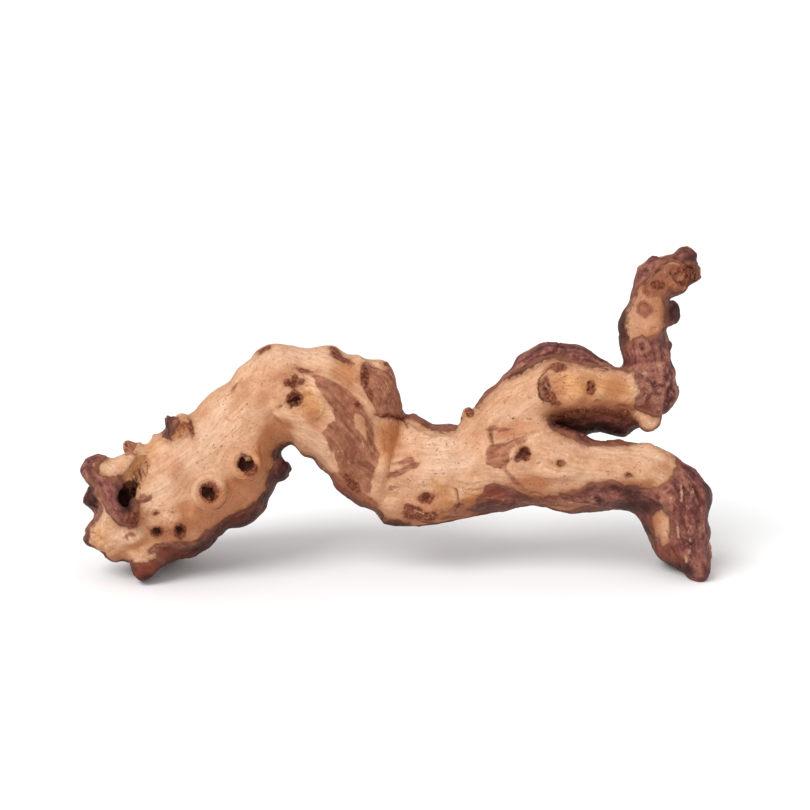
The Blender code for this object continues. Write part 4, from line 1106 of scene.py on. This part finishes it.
def stained_wood(s, m, wood):
    """Medium brown stains with streaks."""
    streaked = s.total((m.lines, 0.35), (m.bands, 0.30), (m.mottle, 0.35))
    stops = ((0.41, (0.165, 0.048, 0.026)), (0.50, (0.275, 0.096, 0.052)), (0.59, (0.390, 0.165, 0.098)))
    on_stain = (m.stain, (m.flow, 0.8), s.centred(m.nibble, 0.5))
    return s.where(-1.4, 0.4, 0.94, wood, s.ramp(streaked, *stops), *on_stain)


def bark(s, m, surface):
    """Smooth, purple-brown, darker in its wrinkles, worn lighter on its ridges, burnt in places; with painted
    shade where it turns from the light, along its raised edge, and deep under limbs and in hollows.
    """
    skin = s.total((m.wrinkles, 0.36), (m.blotches, 0.34), (m.mottle, 0.30))
    stops = ((0.40, (0.052, 0.014, 0.011)), (0.49, (0.160, 0.046, 0.037)), (0.58, (0.310, 0.116, 0.088)))
    dark = s.ramp(skin, *stops)
    inner_edge = s.fall(0.6, 4.2, m.bark, (m.flow, 0.5), m.nibble)
    dark = s.over(s.times(inner_edge, 0.50), dark, (0.330, 0.130, 0.065))
    dark = s.where(0.54, 0.63, 0.45, dark, (0.380, 0.165, 0.105), skin, (m.light_line, 0.22))
    dark = s.where(-1.5, 4.0, 0.68, dark, (0.200, 0.046, 0.021), m.reddish, m.nibble)
    # Painted shade: the bark goes near black where it turns away from the light.
    dark = s.where(0.62, 1.20, 0.60, dark, (0.050, 0.015, 0.011), m.patina)
    surface = s.over(m.on_bark, surface, dark)
    near_bark = s.times(s.step(-6.0, 0.0, m.bark, m.flow), s.calc("SUBTRACT", 1.0, m.on_bark))
    surface = s.over(s.times(near_bark, 0.28), surface, (0.300, 0.100, 0.040))
    # Painted shade along the bark's raised edge.
    rim_shade = s.times(s.step(-1.6, 0.0, m.bark, m.nibble), s.fall(0.2, 1.8, m.bark, m.nibble))
    surface = s.over(s.times(rim_shade, 0.34), surface, (0.095, 0.030, 0.018))
    # Burnt places and painted deep shade, nearly black, most on the bark.
    burnt_and_shade = s.step(-1.2, 3.0, m.black, m.nibble, (m.flow, 0.4))
    return s.over(s.times(burnt_and_shade, s.total(0.12, (m.on_bark, 0.72))), surface, (0.038, 0.012, 0.009))


def marks(s, m, surface):
    """Red-brown crusts, brown and pale lines, painted shade in deep places, specks and the finest grain."""
    reds = ((0.38, (0.045, 0.011, 0.007)), (0.46, (0.155, 0.034, 0.017)), (0.56, (0.280, 0.072, 0.034)))
    rusty = s.ramp(m.crumbs, *reds, (0.66, (0.500, 0.220, 0.125)))
    surface = s.where(-3.4, 0.4, 0.38, surface, (0.330, 0.115, 0.055), m.crust, m.nibble)
    surface = s.over(s.times(m.on_crust, 0.88), surface, rusty)
    on_brown = (m.brown_line, s.centred(m.mottle, 0.9))
    surface = s.where(0.25, 0.95, 0.55, surface, (0.25, 0.085, 0.038), *on_brown)
    on_light = (m.light_line, s.centred(m.fine, 0.6), s.centred(m.mottle, 1.6))
    surface = s.where(0.50, 0.95, 0.62, surface, (0.60, 0.36, 0.225), *on_light)
    # Painted shade, near black, in knot holes, cracks, bark fissures and pores.
    surface = s.where(0.34, 1.00, 0.90, surface, (0.058, 0.016, 0.010), m.depth_shade, s.centred(m.crumbs, 0.9))
    surface = s.over(s.times(m.speck, 0.50), surface, (0.16, 0.052, 0.026))
    grain = s.ramp(m.fine, (0.36, (0.88, 0.85, 0.82)), (0.56, (1.0, 1.0, 1.0)))
    return s.over(1.0, surface, grain, "MULTIPLY")


def fine_relief(s, m):
    """Relief too fine for the mesh, as a bump."""
    height = s.total(
        (m.lines, 0.80), (m.grit, 0.30), (m.mottle, 0.60), (m.fine, 0.40), s.times(m.fine, m.rough_wood),
        (s.times(m.wrinkles, m.on_bark), 2.4), (s.times(m.crumbs, m.on_crust), 3.0),
        (m.speck, -0.5), (m.ring, -0.12),
    )
    bump = s.nodes.new("ShaderNodeBump")
    bump.inputs["Strength"].default_value = 0.85
    bump.inputs["Distance"].default_value = 0.60 * MM
    s.links.new(height, bump.inputs["Height"])
    return bump.outputs[0]


def wood_material():
    """Pale sandblasted wood with growth lines, brown stains, smooth dark bark and red-brown crusts."""
    material = bpy.data.materials.new("mopani_wood")
    material.use_nodes = True
    s = Shading(material)
    m = wood_maps(s)
    shader = s.nodes["Principled BSDF"]
    shader.inputs["Metallic"].default_value = 0.0
    shader.inputs["Specular IOR Level"].default_value = 0.16
    s.put(shader.inputs["Base Color"], marks(s, m, bark(s, m, stained_wood(s, m, bare_wood(s, m)))))
    s.put(shader.inputs["Roughness"], s.total(0.60, (m.grit, 0.20), (m.on_bark, -0.12)))
    s.put(shader.inputs["Normal"], fine_relief(s, m))
    return material


def make_wood():
    """The dressed wood: one piece in place of each solid."""
    skin = fine_skin()
    refine(skin)
    carve(skin)
    skin.data.materials.clear()
    skin.data.materials.append(wood_material())
    for name, piece in zip(REGIONS, split_at_forks(skin)):
        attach(piece, "root")
        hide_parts(name)


def make_studio():
    """A pale floor, a white surround, and a wide soft light from the upper left."""
    bpy.ops.mesh.primitive_plane_add(size=16.0, location=(0.0, 0.0, 0.0))
    floor = bpy.context.active_object
    floor.name = "floor"
    paint = bpy.data.materials.new("pale_floor")
    paint.use_nodes = True
    paint.node_tree.nodes["Principled BSDF"].inputs["Base Color"].default_value = (0.93, 0.93, 0.93, 1.0)
    paint.node_tree.nodes["Principled BSDF"].inputs["Roughness"].default_value = 0.9
    floor.data.materials.append(paint)
    world = bpy.data.worlds.new("studio")
    world.use_nodes = True
    world.node_tree.nodes["Background"].inputs[0].default_value = (1.0, 1.0, 1.0, 1.0)
    world.node_tree.nodes["Background"].inputs[1].default_value = 0.74
    bpy.context.scene.world = world
    for name, way, width, power in LIGHTS:
        light = bpy.data.lights.new(name, "SUN")
        light.energy = power
        light.angle = math.radians(width)
        lamp = bpy.data.objects.new(name, light)
        lamp.rotation_euler = Vector(way).to_track_quat("-Z", "Y").to_euler()
        bpy.context.scene.collection.objects.link(lamp)


def make_camera():
    """The camera at the eye of the front view."""
    camera = bpy.data.cameras.new("camera")
    camera.sensor_width = 36.0
    camera.lens = 100.0
    holder = bpy.data.objects.new("camera", camera)
    holder.location = (EYE + SET_DOWN) * MM
    holder.rotation_euler = AWAY.to_track_quat("-Z", "Y").to_euler()
    bpy.context.scene.collection.objects.link(holder)
    bpy.context.scene.camera = holder


make_wood()
make_studio()
make_camera()
bpy.context.scene.view_settings.view_transform = "Standard"
